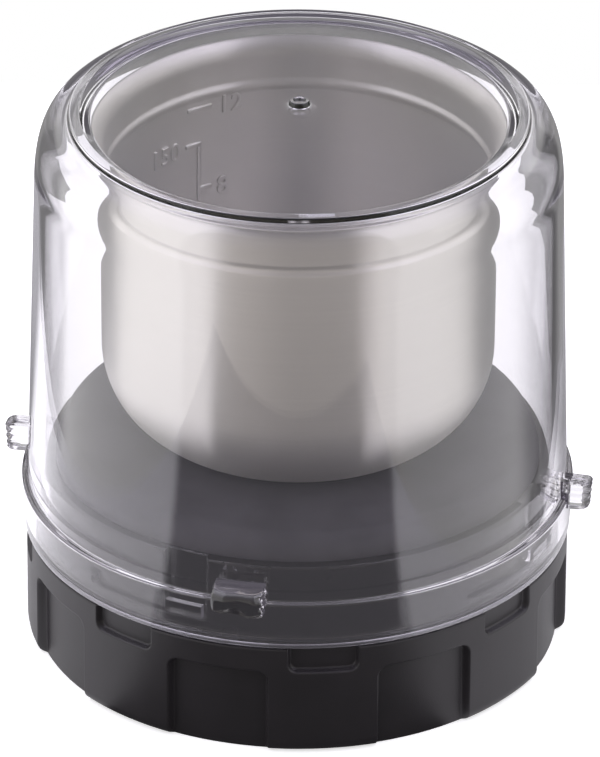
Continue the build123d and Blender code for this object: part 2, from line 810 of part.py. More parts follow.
# ================================================================ drive coupling and its pin
# Cup-shaped dog coupling, open below, with drive slots in its socket and a web pinned to the shaft.
with BuildPart() as drive_coupling:
    tube(shaft_radius + press_fit, coupling_radius, web_under, coupling_top)
    tube(socket_radius, coupling_radius, coupling_under, web_under)
    with BuildSketch(Plane.XY.offset(coupling_under)):
        slot_middle = socket_radius + (socket_slot_depth - cutter_reach) / 2
        with PolarLocations(slot_middle, socket_slot_count):
            Rectangle(socket_slot_depth + cutter_reach, socket_slot_width)
    extrude(amount=coupling_skirt, mode=Mode.SUBTRACT)
    with BuildSketch(Plane.YZ):
        with Locations((0, pin_height)):
            Circle(pin_radius + press_fit)
    extrude(amount=coupling_radius, both=True, mode=Mode.SUBTRACT)
drive_coupling.part.label = "drive_coupling"
export_step(drive_coupling.part, "parts/drive_coupling.step")

with BuildPart() as coupling_pin:
    with BuildSketch(Plane.YZ):
        with Locations((0, pin_height)):
            Circle(pin_radius)
    extrude(amount=coupling_radius - pin_inset, both=True)
coupling_pin.part.label = "coupling_pin"
export_step(coupling_pin.part, "parts/coupling_pin.step")

# ================================================================ bottom plate
# Closes the base inside its foot, with a tube round the coupling.
with BuildPart() as bottom_plate:
    tube(well_radius, grip_inner - slide_gap, plate_lift, plate_top)
    tube(well_radius, well_radius + well_wall, plate_lift, plate_top + well_height)
    plate_hole = screw_radius + screw_hole_gap
    screw_holes(plate_screw_circle, plate_screw_azimuth, plate_lift, plate_sheet, plate_hole)
bottom_plate.part.label = "bottom_plate"
export_step(bottom_plate.part, "parts/bottom_plate.step")

# ================================================================ screws
deck_screw = screw(floor_thickness)
with BuildPart() as deck_screws:
    with Locations((0, 0, floor_under)):
        with PolarLocations(deck_screw_circle, screw_count, start_angle=deck_screw_azimuth):
            add(deck_screw)
deck_screws.part.label = "deck_screws"
export_step(deck_screws.part, "parts/deck_screws.step")

plate_screw = screw(plate_sheet)
with BuildPart() as plate_screws:
    with Locations((0, 0, plate_lift)):
        with PolarLocations(plate_screw_circle, screw_count, start_angle=plate_screw_azimuth):
            add(plate_screw)
plate_screws.part.label = "plate_screws"
export_step(plate_screws.part, "parts/plate_screws.step")
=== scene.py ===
import bpy
import bmesh
import math
from mathutils import Matrix, Vector


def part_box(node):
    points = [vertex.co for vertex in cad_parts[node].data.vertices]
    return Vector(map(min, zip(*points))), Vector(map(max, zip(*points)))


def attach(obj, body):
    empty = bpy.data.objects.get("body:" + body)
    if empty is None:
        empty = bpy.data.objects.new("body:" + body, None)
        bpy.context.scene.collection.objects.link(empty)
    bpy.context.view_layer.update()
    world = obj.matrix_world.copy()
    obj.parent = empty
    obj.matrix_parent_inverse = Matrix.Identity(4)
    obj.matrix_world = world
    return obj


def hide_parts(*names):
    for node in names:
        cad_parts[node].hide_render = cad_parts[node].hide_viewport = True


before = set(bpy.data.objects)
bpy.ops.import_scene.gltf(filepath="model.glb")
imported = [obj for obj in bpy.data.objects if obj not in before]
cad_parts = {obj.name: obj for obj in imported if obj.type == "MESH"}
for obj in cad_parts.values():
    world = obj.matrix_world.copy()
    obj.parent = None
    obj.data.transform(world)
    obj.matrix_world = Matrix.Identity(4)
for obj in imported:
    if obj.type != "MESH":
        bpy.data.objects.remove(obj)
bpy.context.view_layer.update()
mm = 0.001

# -------------------- base shell
# Moulded black shell that everything stands on. Its grip wall has eight recesses that are open at the foot
# and eight finger slots at the ledge, and the collar above it has a channel for each of the cup's tabs.


def rounded(corners, closed=True):
    """Outline in mm from (radius, height, rounding) corners: each becomes an arc with a guard point at each end."""
    outline = []
    count = len(corners)
    for i, (r, z, rounding) in enumerate(corners):
        here = Vector((r, z))
        if rounding == 0 or (not closed and i in (0, count - 1)):
            outline.append((r, z))
            continue
        before = Vector(corners[i - 1][:2]) - here
        after = Vector(corners[(i + 1) % count][:2]) - here
        half = before.angle(after) / 2
        reach = min(rounding / math.tan(half), 0.48 * before.length, 0.48 * after.length)
        radius = reach * math.tan(half)
        bisector = (before.normalized() + after.normalized()).normalized()
        middle = here + bisector * (radius / math.sin(half))
        start = here + before.normalized() * reach
        end = here + after.normalized() * reach
        guard = 0.25
        if before.length - reach > 4 * guard:
            outline.append(tuple(start + before.normalized() * guard))
        steps = max(3, round(math.degrees(math.pi - 2 * half) / 18))
        turn = (start - middle).angle_signed(end - middle)
        for k in range(steps + 1):
            spoke = start - middle
            spoke.rotate(Matrix.Rotation(-turn * k / steps, 2))
            outline.append(tuple(middle + spoke))
        if after.length - reach > 4 * guard:
            outline.append(tuple(end + after.normalized() * guard))
    return outline


def made(name, shape):
    """Ends a bmesh as an object of the scene."""
    mesh = bpy.data.meshes.new(name)
    shape.to_mesh(mesh)
    shape.free()
    return linked(name, mesh)


def linked(name, mesh):
    """Puts a mesh in the scene as an object."""
    piece = bpy.data.objects.new(name, mesh)
    bpy.context.scene.collection.objects.link(piece)
    return piece


def turned(name, outline, azimuths=256, reach=None, centre=(0, 0)):
    """Closed outline in mm turned about Z. azimuths is a count or a list in degrees, reach may change a radius."""
    if isinstance(azimuths, int):
        azimuths = [360 * k / azimuths for k in range(azimuths)]
    columns = [(a, math.cos(math.radians(a)), math.sin(math.radians(a))) for a in azimuths]
    verts = []
    for a, c, s in columns:
        for r, z in outline:
            if reach:
                r = reach(r, z, a)
            verts.append(((centre[0] + r * c) * mm, (centre[1] + r * s) * mm, z * mm))
    rows = len(outline)
    faces = []
    for i in range(len(columns)):
        j = (i + 1) % len(columns)
        for k in range(rows):
            m = (k + 1) % rows
            faces.append((i * rows + k, j * rows + k, j * rows + m, i * rows + m))
    mesh = bpy.data.meshes.new(name)
    mesh.from_pydata(verts, [], faces)
    shape = bmesh.new()
    shape.from_mesh(mesh)
    bpy.data.meshes.remove(mesh)
    merge = 0.0005 * mm
    bmesh.ops.remove_doubles(shape, verts=shape.verts, dist=merge)
    bmesh.ops.dissolve_degenerate(shape, edges=shape.edges, dist=merge)
    bmesh.ops.recalc_face_normals(shape, faces=shape.faces)
    piece = made(name, shape)
    piece.data.shade_smooth()
    return piece


def feed(tree, socket, value):
    """Gives a node's input a value or another node's output."""
    if isinstance(value, bpy.types.NodeSocket):
        tree.links.new(value, socket)
    else:
        socket.default_value = value


def fed(tree, node, **inputs):
    """Feeds a node's inputs by name, with _ for a space."""
    for label, value in inputs.items():
        feed(tree, node.inputs[label.replace("_", " ")], value)
    return node


def added(tree, kind, **inputs):
    """Adds a node to a tree and feeds it."""
    return fed(tree, tree.nodes.new(kind), **inputs)


def maths(tree, operation, *values):
    """Result of a Math node."""
    node = tree.nodes.new("ShaderNodeMath")
    node.operation = operation
    for socket, value in zip(node.inputs, values):
        feed(tree, socket, value)
    return node.outputs[0]


def times(tree, one, two):
    """Product of two values."""
    return maths(tree, "MULTIPLY", one, two)


def plus(tree, one, two):
    """Sum of two values."""
    return maths(tree, "ADD", one, two)


def minus(tree, one, two):
    """Difference of two values."""
    return maths(tree, "SUBTRACT", one, two)


def ranged(tree, value, start, end, low=0.0, high=1.0, soft=False):
    """Carries a value from one range to another and holds it there, straight or with soft ends."""
    node = added(tree, "ShaderNodeMapRange", Value=value, From_Min=start, From_Max=end, To_Min=low, To_Max=high)
    node.interpolation_type = "SMOOTHSTEP" if soft else "LINEAR"
    return node.outputs["Result"]


def axes(tree, vector):
    """X, Y and Z of a vector."""
    return list(added(tree, "ShaderNodeSeparateXYZ", Vector=vector).outputs)


def material_tree(name):
    """New material with its tree, its shader and the Object coordinates."""
    material = bpy.data.materials.new(name)
    material.use_nodes = True
    tree = material.node_tree
    return material, tree, tree.nodes["Principled BSDF"], added(tree, "ShaderNodeTexCoord").outputs["Object"]


def noise(tree, place, scale, detail=2.0, roughness=0.5):
    """Noise pattern at a place."""
    node = added(tree, "ShaderNodeTexNoise", Vector=place, Scale=scale, Detail=detail, Roughness=roughness)
    return node.outputs["Fac"]


def toned(tree, shader, pattern, dark, light, start, end):
    """Base colour that goes from dark to light with a pattern."""
    tone = added(tree, "ShaderNodeValToRGB", Fac=pattern)
    for stop, colour, position in zip(tone.color_ramp.elements, (dark, light), (start, end)):
        stop.color = (*colour, 1)
        stop.position = position
    fed(tree, shader, Base_Color=tone.outputs["Color"])


def raised(tree, shader, pattern, strength, depth):
    """Fine relief from a pattern; gives the Bump node."""
    bump = added(tree, "ShaderNodeBump", Strength=strength, Distance=depth * mm, Height=pattern)
    fed(tree, shader, Normal=bump.outputs["Normal"])
    return bump


def moulded(name, colour, roughness, grain_size, grain_depth, specular=0.5, polished_above=None):
    """Moulded plastic or rubber: spark-eroded grain, slow unevenness in colour and gloss, polished higher up."""
    material, tree, shader, place = material_tree(name)
    bump = raised(tree, shader, noise(tree, place, 1 / (grain_size * mm)), 0.5, grain_depth)
    cloud = noise(tree, place, 90)
    toned(tree, shader, cloud, [0.85 * c for c in colour], [min(1, 1.15 * c) for c in colour], 0.35, 0.65)
    gloss = ranged(tree, cloud, 0, 1, roughness - 0.04, roughness + 0.04)
    if polished_above:
        height = axes(tree, place)[2]
        grainy = ranged(tree, height, (polished_above - 0.2) * mm, (polished_above + 0.2) * mm, 1, 0.3)
        gloss = times(tree, gloss, grainy)
        fed(tree, bump, Strength=grainy)
    fed(tree, shader, Roughness=gloss, Specular_IOR_Level=specular)
    return material


def dress(piece, material, body, slot, *nodes):
    """Gives a piece its material and its body, and hides the CAD nodes that it stands for. The slot is not used."""
    piece.data.materials.clear()
    piece.data.materials.append(material)
    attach(piece, body)
    if nodes:
        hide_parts(*nodes)


def join(piece, *others):
    """Adds closed shapes to a piece as parts of the same moulding."""
    shape = bmesh.new()
    shape.from_mesh(piece.data)
    for other in others:
        shape.from_mesh(other.data)
        bpy.data.objects.remove(other)
    shape.to_mesh(piece.data)
    shape.free()


def ring_of_bosses(foot, hole_end, root, circle, first):
    """Four screw bosses on a circle, each with its hole from the foot up and its root in the moulding."""
    hole = 1.52
    outside = 3.8
    section = rounded([
        (0, hole_end, 0), (hole, hole_end, 0), (hole, foot, 0.15),
        (outside, foot, 0.3), (outside, root, 0), (0, root, 0),
    ])
    bosses = []
    for k in range(4):
        turn = math.radians(first + 90 * k)
        centre = (circle * math.cos(turn), circle * math.sin(turn))
        bosses.append(turned("boss", section, 28, centre=centre))
    return bosses


grip_radius = 50.8
grip_inner = 46.2
grip_height = 22.1
groove_outer = 48.9
groove_floor = 20.9
collar_radius = 47.3
collar_inner = 43.9
collar_top = 38.0
channel_floor = 46.0
floor_under = 19.7
floor_opening = 24.0
grip_count = 8
recess_azimuth = -95.2
recess_width = 19.0
recess_top = 17.0
recess_corner = 2.0
recess_floor = 49.0
slot_azimuth = -72.7
slot_width = 12.8
slot_bottom = 17.3
slot_corner = 1.5
slot_floor = 49.5
tab_azimuth = -103.4
channel_half_width = 4.1
channel_bottom = 25.7
channel_height = 3.0
bayonet_turn = 20.0
edge_softness = 0.28


def pocket(across, up, half_width, half_height, corner):
    """How deep a rounded rectangle is sunk at this point: 0 outside, 1 inside, with a soft edge."""
    dx = max(abs(across) - half_width + corner, 0)
    dz = max(abs(up) - half_height + corner, 0)
    inside = min(max(abs(across) - half_width + corner, abs(up) - half_height + corner), 0)
    distance = math.hypot(dx, dz) + inside - corner
    t = min(max(0.5 - distance / (2 * edge_softness), 0), 1)
    return t * t * (3 - 2 * t)


def nearest_turn(azimuth, first, count):
    """Angle from the nearest of a ring of equal features."""
    pitch = 360 / count
    return (azimuth - first + pitch / 2) % pitch - pitch / 2


def shell_radius(r, z, azimuth):
    """Radius of the shell's outside with its recesses, finger slots and bayonet channels sunk in."""
    if r > recess_floor - 0.01 and z < grip_height + 0.01:
        across = math.radians(nearest_turn(azimuth, recess_azimuth, grip_count)) * grip_radius
        sunk = pocket(across, z - recess_top / 2 + 20, recess_width / 2, recess_top / 2 + 20, recess_corner)
        r -= sunk * max(0, r - recess_floor)
        across = math.radians(nearest_turn(azimuth, slot_azimuth, grip_count)) * grip_radius
        sunk = pocket(across, z - slot_bottom - 20, slot_width / 2, 20, slot_corner)
        r -= sunk * max(0, r - slot_floor)
    elif z > grip_height and r > channel_floor:
        turn = math.radians(nearest_turn(azimuth, tab_azimuth, 4)) * collar_radius
        entry = pocket(turn, z - channel_bottom - 20, channel_half_width, 20, 0.4)
        run = math.radians(bayonet_turn) * collar_radius
        lock = pocket(turn + run / 2, z - channel_bottom - channel_height / 2,
                      channel_half_width + run / 2, channel_height / 2, 0.4)
        r -= max(entry, lock) * (r - channel_floor)
    return r


shell_azimuths = {3.0 * k for k in range(120)}
edge_steps = [-0.5, -0.3, -0.15, 0, 0.15, 0.3, 0.5, 0.75, 1.0, 1.3, 1.6, 2.0]
for first, half in ((recess_azimuth, recess_width / 2), (slot_azimuth, slot_width / 2)):
    for k in range(grip_count):
        for side in (-1, 1):
            for step in edge_steps:
                turn = math.degrees(side * (half - step) / grip_radius)
                shell_azimuths.add(round((first + 360 * k / grip_count + turn) % 360, 3))
channel_steps = [-0.5, -0.3, -0.15, 0, 0.15, 0.3, 0.5]
lock_edge = -channel_half_width - math.radians(bayonet_turn) * collar_radius
for k in range(4):
    for edge in (channel_half_width, -channel_half_width, lock_edge):
        for step in channel_steps:
            turn = math.degrees((edge + step) / collar_radius)
            shell_azimuths.add(round((tab_azimuth + 90 * k + turn) % 360, 3))
kept = []
for azimuth in sorted(shell_azimuths):
    if not kept or azimuth - kept[-1] > 0.12:
        kept.append(azimuth)
shell_azimuths = kept

shell_outline = rounded([
    (grip_inner, 0, 0.4),
    (grip_radius, 0, 3.0),
    (grip_radius, grip_height, 0.45),
    (groove_outer, grip_height, 0.2),
    (groove_outer, groove_floor, 0.1),
    (collar_radius, groove_floor, 0.1),
    (collar_radius, collar_top, 0.5),
    (collar_inner, collar_top, 0.3),
    (collar_inner, grip_height, 0.3),
    (floor_opening, grip_height, 0.3),
    (floor_opening, floor_under, 0.3),
    (grip_inner, floor_under, 0.3),
])
grip_rows = [6, 10, 13.5] + [14.8 + 0.2 * k for k in range(22)] + [19.8, 20.6]
channel_edges = (channel_bottom, channel_bottom + channel_height)
channel_rows = [edge + step for edge in channel_edges for step in channel_steps] + [33.0]
extra_rows = {grip_radius: grip_rows, collar_radius: channel_rows}
with_rows = []
for (r0, z0), (r1, z1) in zip(shell_outline, shell_outline[1:] + shell_outline[:1]):
    with_rows.append((r0, z0))
    for radius, heights in extra_rows.items():
        if abs(r0 - radius) < 1e-6 and abs(r1 - radius) < 1e-6 and z1 - z0 > 5:
            with_rows += [(radius, h) for h in heights]
black_plastic = moulded("black_plastic", (0.014, 0.0115, 0.0145), 0.46, 0.22, 0.02, polished_above=22.5)
base_shell = turned("black_base", with_rows, shell_azimuths, shell_radius)
plate_circle = 38.0
join(base_shell, *ring_of_bosses(4.4, 13.9, floor_under + 0.3, plate_circle, 45))
dress(base_shell, black_plastic, "base", "black_plastic", "base_shell")

# -------------------- cup seal
# Silicone ring that lies in the ledge's groove. The cup's rim presses on its rounded top.


def flat_ring(inner, outer, low, high, softness):
    """Section of a flat ring, its corners rounded from the inner one below round to the inner one above."""
    corners = ((inner, low), (outer, low), (outer, high), (inner, high))
    return rounded([(r, z, soft) for (r, z), soft in zip(corners, softness)])


silicone = moulded("silicone", (0.5, 0.5, 0.485), 0.48, 0.3, 0.01)
tree = silicone.node_tree
fed(tree, tree.nodes["Principled BSDF"], Subsurface_Weight=0.3, Subsurface_Radius=(0.001, 0.001, 0.001))
cup_seal = turned("rim_seal", flat_ring(47.6, 48.6, groove_floor, 22.3, (0.1, 0.1, 0.45, 0.45)), 192)
dress(cup_seal, silicone, "seal", "silicone", "cup_seal")

# -------------------- deck
# Black dome seated on the collar. The bowl stands in the shallow well in its middle.
deck_radius = 45.3
deck_top = 43.0
deck_under = 40.6
spigot_inner = 41.2
spigot_radius = 43.6
spigot_foot = 33.0
well_radius = 20.0
well_edge = 25.5
well_floor = 41.0
middle_hole = 6.5
hub_under = 36.6
deck_circle = 34.0
edge_width = 3.5
edge_height = 4.2


def quarter(corners, first, last, steps):
    """Points of a full quarter round, drawn by its two ends and two guide corners between them."""
    points = []
    for k in range(first, last):
        t = k / steps
        weights = ((1 - t) ** 3, 3 * t * (1 - t) ** 2, 3 * t * t * (1 - t), t**3)
        points.append((*(sum(w * c[axis] for w, c in zip(weights, corners)) for axis in (0, 1)), 0))
    return points


deck_edge = quarter((
    (deck_radius, deck_top - edge_height), (deck_radius, deck_top - 0.45 * edge_height),
    (deck_radius - 0.45 * edge_width, deck_top), (deck_radius - edge_width, deck_top),
), 0, 13, 12)
deck = turned("bowl_deck", rounded([
    (spigot_inner, spigot_foot, 0.2),
    (spigot_radius, spigot_foot, 0.4),
    (spigot_radius, collar_top + 0.02, 0.05),
    (deck_radius, collar_top + 0.02, 0.15),
    *deck_edge,
    (well_edge, deck_top, 0.6),
    (well_radius, well_floor, 0.6),
    (middle_hole, well_floor, 0.2),
    (middle_hole, hub_under, 0.2),
    (well_radius, hub_under, 0.4),
    (well_radius, 38.6, 0.4),
    (well_edge, deck_under, 0.4),
    (spigot_inner, deck_under, 0.4),
]))
join(deck, *ring_of_bosses(grip_height, 31.6, deck_under + 0.3, deck_circle, 0))
rib_size = (24.0, 1.8, 4.2)
rib_middle = (30.2, 0, 38.7)
for k in range(4):
    shape = bmesh.new()
    bmesh.ops.create_cube(shape, size=1)
    bmesh.ops.scale(shape, vec=[length * mm for length in rib_size], verts=shape.verts)
    bmesh.ops.bevel(shape, geom=shape.edges, offset=0.2 * mm, segments=2, profile=0.5, affect="EDGES")
    bmesh.ops.translate(shape, vec=[length * mm for length in rib_middle], verts=shape.verts)
    turn = Matrix.Rotation(math.radians(45 + 90 * k), 3, "Z")
    bmesh.ops.rotate(shape, cent=(0, 0, 0), matrix=turn, verts=shape.verts)
    join(deck, made("rib", shape))
# Painted light: the deck is the same black plastic as the base, but its colour is made several times lighter and
# violet-grey, standing in for light that falls on the dome.
deck_plastic_painted_lighter = moulded("deck_black_painted_lighter", (0.105, 0.1, 0.115), 0.6, 0.25, 0.0015, specular=0.35)
dress(deck, deck_plastic_painted_lighter, "base", "black_plastic", "deck")

# -------------------- deck screws
# Four zinc-plated pan-head screws driven up through the base's floor into the deck's bosses.


def plated(name, colour, roughness, speck, depth):
    """Metal without a lay: plating, sintered or tumbled surface with fine specks in tone, gloss and height."""
    material, tree, shader, place = material_tree(name)
    specks = noise(tree, place, 1 / (speck * mm), detail=3)
    toned(tree, shader, specks, [0.82 * c for c in colour], colour, 0.35, 0.6)
    fed(tree, shader, Metallic=1, Roughness=ranged(tree, specks, 0, 1, roughness + 0.06, roughness - 0.06))
    raised(tree, shader, specks, 0.4, depth)
    return material


def settled(piece):
    """Mesh of an object with all that acts on it done."""
    bpy.context.view_layer.update()
    return bpy.data.meshes.new_from_object(piece.evaluated_get(bpy.context.evaluated_depsgraph_get()))


def crease(piece, degrees):
    """Smooth shading, with sharp edges where faces meet at more than this angle."""
    piece.data.shade_smooth()
    piece.data.set_sharp_from_angle(angle=math.radians(degrees))


def cut(piece, tool, operation, folded=False):
    """Joins or cuts a piece with another solid, which is used up. A folded piece is checked against itself."""
    change = piece.modifiers.new("change", "BOOLEAN")
    change.object = tool
    change.operation = operation
    change.solver = "EXACT"
    change.use_self = folded
    result = settled(piece)
    piece.modifiers.clear()
    piece.data = result
    bpy.data.objects.remove(tool)


def skin(name, rings):
    """Closed skin over a row of like rings of (x, y, z) points in mm, with a flat face at each end."""
    shape = bmesh.new()
    rings = [[shape.verts.new((x * mm, y * mm, z * mm)) for x, y, z in ring] for ring in rings]
    shape.faces.new(rings[0][::-1])
    shape.faces.new(rings[-1])
    for one, two in zip(rings, rings[1:]):
        for k in range(len(one)):
            m = (k + 1) % len(one)
            shape.faces.new((one[k], one[m], two[m], two[k]))
    bmesh.ops.recalc_face_normals(shape, faces=shape.faces)
    return made(name, shape)


def bar(section, low, high):
    """Straight bar along Z from a plan outline in mm, to cut with."""
    return skin("bar", [[(x, y, z) for x, y in section] for z in (low, high)])


def pan_screw(length):
    """Pan-head screw with a cross recess, its head's seat at height 0 and its threaded shank upwards."""
    head_radius = 2.8
    shank = 1.5
    root = 1.22
    pitch = 0.65
    head = [(0, -1.8, 0), (1.5, -1.8, 0), (head_radius, -0.9, 0.8), (head_radius, 0, 0.15), (shank, 0, 0.1)]
    thread = []
    for k in range(int((length - 2.2) / pitch)):
        thread += [(root, 0.8 + k * pitch, 0), (shank, 0.8 + (k + 0.45) * pitch, 0)]
    point = [(1.15, length - 0.9, 0.1), (0.6, length, 0.1), (0, length, 0)]
    screw = turned("screw", rounded(head + thread + point), 32)
    cross = [(0.5, 0.5), (0.5, 1.8), (-0.5, 1.8), (-0.5, 0.5), (-1.8, 0.5), (-1.8, -0.5),
             (-0.5, -0.5), (-0.5, -1.8), (0.5, -1.8), (0.5, -0.5), (1.8, -0.5), (1.8, 0.5)]
    cut(screw, bar(cross, -2.2, -0.9), "DIFFERENCE")
    crease(screw, 32)
    return screw


def screw_circle(name, screw, finish, count, circle, first, seat):
    """Sets screws on a circle with a node tree whose inputs are the circle's sizes, in metres and radians."""
    tree = bpy.data.node_groups.new(name, "GeometryNodeTree")
    kinds = (
        ("Screw", "Object", screw), ("Finish", "Material", finish), ("Count", "Int", count),
        ("Circle", "Float", circle * mm), ("First turn", "Float", math.radians(first)),
        ("Seat", "Float", seat * mm),
    )
    keys = {label: tree.interface.new_socket(label, in_out="INPUT", socket_type="NodeSocket" + kind).identifier
            for label, kind, _ in kinds}
    tree.interface.new_socket("Screws", in_out="OUTPUT", socket_type="NodeSocketGeometry")
    sizes = tree.nodes.new("NodeGroupInput").outputs
    number = added(tree, "GeometryNodeInputIndex").outputs["Index"]
    pitch = maths(tree, "DIVIDE", 2 * math.pi, sizes["Count"])
    turn = maths(tree, "MULTIPLY_ADD", number, pitch, sizes["First turn"])
    x, y = (times(tree, maths(tree, wave, turn), sizes["Circle"]) for wave in ("COSINE", "SINE"))
    spot = added(tree, "ShaderNodeCombineXYZ", X=x, Y=y, Z=sizes["Seat"]).outputs["Vector"]
    spin = added(tree, "ShaderNodeCombineXYZ", Z=times(tree, turn, 1.7)).outputs["Vector"]
    points = added(tree, "GeometryNodePoints", Count=sizes["Count"], Position=spot).outputs[0]
    source = added(tree, "GeometryNodeObjectInfo", Object=sizes["Screw"]).outputs["Geometry"]
    copies = added(tree, "GeometryNodeInstanceOnPoints", Points=points, Instance=source, Rotation=spin).outputs[0]
    solid = added(tree, "GeometryNodeRealizeInstances", Geometry=copies).outputs["Geometry"]
    coat = added(tree, "GeometryNodeSetMaterial", Geometry=solid, Material=sizes["Finish"]).outputs["Geometry"]
    added(tree, "NodeGroupOutput", Screws=coat)
    screws = linked(name, bpy.data.meshes.new(name))
    pattern = screws.modifiers.new("pattern", "NODES")
    pattern.node_group = tree
    for label, _, value in kinds:
        pattern[keys[label]] = value
    mesh = settled(screws)
    screws.modifiers.clear()
    screws.data = mesh
    bpy.data.objects.remove(screw)
    return screws


zinc = plated("zinc_plate", (0.66, 0.67, 0.69), 0.34, 0.5, 0.01)
deck_screws = screw_circle("deck_screw_ring", pan_screw(11.4), zinc, 4, deck_circle, 0, floor_under)
dress(deck_screws, zinc, "base", "zinc_steel", "deck_screws")

# -------------------- bowl gasket
# Flat silicone ring in the deck's well. The bowl is clamped down on it.
bowl_base = 42.0
bowl_gasket = turned("bowl_ring", flat_ring(9.5, 16.0, well_floor, bowl_base, [0.12] * 4), 128)
dress(bowl_gasket, silicone, "base", "silicone", "bowl_gasket")

# -------------------- grinding bowl
# Drawn stainless sheet with a satin finish brushed round the axis, an inward bead and a flared lip.
sheet = 0.8
bowl_radius = 36.5
bowl_top = 102.2
bowl_corner = 18.5
bead_middle = 93.2
bead_depth = 0.5
bead_half = 1.0
flare_radius = 3.3
flare_turn = 65.0


def bowl_side(inset):
    """One side of the sheet from the middle hole to the lip, with the outside at inset 0."""
    wall = bowl_radius - inset
    corner = bowl_corner - inset
    side = [(middle_hole, bowl_base + inset), (12.0, bowl_base + inset)]
    for k in range(33):
        turn = math.radians(90 * k / 32)
        side.append((bowl_radius - bowl_corner + corner * math.sin(turn),
                     bowl_base + bowl_corner - corner * math.cos(turn)))
    side += [(wall, 70.0), (wall, 82.0), (wall, bead_middle - 2.2)]
    for k in range(17):
        t = -1 + k / 8
        side.append((wall - bead_depth * (0.5 + 0.5 * math.cos(math.pi * t)), bead_middle + 1.35 * bead_half * t))
    flare_base = bowl_top - (flare_radius + sheet) * math.sin(math.radians(flare_turn))
    side += [(wall, flare_base - 1.5), (wall, flare_base - 0.5)]
    for k in range(13):
        turn = math.radians(flare_turn * k / 12)
        radius = flare_radius + inset
        side.append((bowl_radius + flare_radius - radius * math.cos(turn), flare_base + radius * math.sin(turn)))
    return side


def brushed(name, colour, roughness, anisotropy, streaks):
    """Steel brushed round the Z axis: fine rings in gloss and tone, with the highlights spread along the axis."""
    material, tree, shader, place = material_tree(name)
    around = tree.nodes.new("ShaderNodeTangent")
    around.direction_type = "RADIAL"
    around.axis = "Z"
    stretch = added(tree, "ShaderNodeMapping", Vector=place, Scale=(18, 18, 2600)).outputs["Vector"]
    rings = noise(tree, stretch, 1, detail=5, roughness=0.65)
    toned(tree, shader, rings, [(1 - streaks) * c for c in colour], colour, 0.3, 0.7)
    gloss = ranged(tree, rings, 0, 1, roughness - 0.05, roughness + 0.05)
    raised(tree, shader, rings, 0.15, 0.01)
    fed(tree, shader, Metallic=1, Roughness=gloss, Anisotropic=anisotropy, Anisotropic_Rotation=0.25,
        Tangent=around.outputs["Tangent"])
    return material


outside = bowl_side(0)
inside = bowl_side(sheet)
lip_end = [tuple((a + b) / 2 + 0.12 for a, b in zip(outside[-1], inside[-1]))]
bowl_steel = brushed("bowl_steel", (0.785, 0.765, 0.74), 0.36, 0.96, 0.04)
grinding_bowl = turned("steel_bowl", outside + lip_end + inside[::-1], 256)
dress(grinding_bowl, bowl_steel, "base", "bowl_steel", "grinding_bowl")

# -------------------- fill marks
# Raised ticks and plain numbers pressed into the bowl's side, for how much it is filled.
mark_azimuth = 132.6
mark_wall = bowl_radius - sheet


def on_the_wall(mesh, along, height):
    """Bends a flat shape in mm onto the bowl's inside, its front towards the middle."""
    for vertex in mesh.vertices:
        x, y, proud = vertex.co
        turn = math.radians(mark_azimuth) - (along + x) / mark_wall
        radius = mark_wall - proud
        vertex.co = (radius * math.cos(turn) * mm, radius * math.sin(turn) * mm, (height + y) * mm)


def number(text, along, height, tall):
    """Raised number whose left foot is at this place on the wall."""
    curve = bpy.data.curves.new("number", "FONT")
    curve.body = text
    curve.size = tall / 0.7
    curve.space_character = 1.12
    curve.extrude = 0.26
    curve.bevel_depth = 0.13
    curve.bevel_resolution = 2
    curve.offset = -0.06
    figure = linked("number", curve)
    mesh = settled(figure)
    bpy.data.objects.remove(figure)
    on_the_wall(mesh, along, height)
    return linked("number", mesh)


def tick(start, end, low, high):
    """Raised line on the wall between two places and two heights."""
    shape = bmesh.new()
    bmesh.ops.create_cube(shape, size=1)
    bmesh.ops.scale(shape, vec=(end - start, high - low, 0.66), verts=shape.verts)
    bmesh.ops.bevel(shape, geom=shape.edges, offset=0.2, segments=3, profile=0.5, affect="EDGES")
    piece = made("tick", shape)
    on_the_wall(piece.data, (start + end) / 2, (low + high) / 2)
    return piece


figure_height = 3.1
tick_width = 0.8
full_mark, middle_mark, low_mark = 90.4, 83.9, 75.9
fill_marks = tick(-2.6, 2.6, full_mark, full_mark + tick_width)
join(
    fill_marks,
    number("12", 3.9, full_mark - 1.2, figure_height),
    tick(-2.9, 0.4, middle_mark, middle_mark + tick_width),
    number("150", -11.4, middle_mark - 1.2, figure_height),
    tick(-0.4, 0.4, 71.5, middle_mark + tick_width),
    tick(-0.4, 2.7, low_mark, low_mark + tick_width),
    number("8", 3.7, low_mark - 1.3, figure_height),
)
fill_marks.name = "fill_marks"
crease(fill_marks, 50)
dress(fill_marks, bowl_steel, "base", "bowl_steel")

# -------------------- bearing housing
# Turned aluminium sleeve. Its flange sits on the bowl's inside and its threaded shank passes bowl and deck.
turned_aluminium = brushed("turned_aluminium", (0.8, 0.8, 0.8), 0.32, 0.6, 0.06)
sleeve_radius = 6.4
sleeve_foot = 21.6
sleeve_top = 48.0
flange_radius = 9.8
flange_low, flange_high = 42.8, 44.6
bush_radius = 4.5
bush_seat = bush_radius + 0.01
top_bush_low, top_bush_high = 38.0, 46.0
foot_bush_high = 29.6
lip_radius = 5.0
bearing_housing = turned("bearing_sleeve", rounded([
    (bush_seat, sleeve_foot, 0.2),
    (sleeve_radius, sleeve_foot, 0.4),
    (sleeve_radius, flange_low, 0.05),
    (flange_radius, flange_low, 0.2),
    (flange_radius, flange_high, 0.3),
    (sleeve_radius, flange_high, 0.25),
    (sleeve_radius, sleeve_top, 0.4),
    (lip_radius + 0.01, sleeve_top, 0.2),
    (lip_radius + 0.01, top_bush_high, 0.05),
    (bush_seat, top_bush_high, 0.05),
    (bush_seat, top_bush_low, 0.1),
    (3.6, top_bush_low, 0.1),
    (3.6, foot_bush_high, 0.1),
    (bush_seat, foot_bush_high, 0.1),
]), 96)
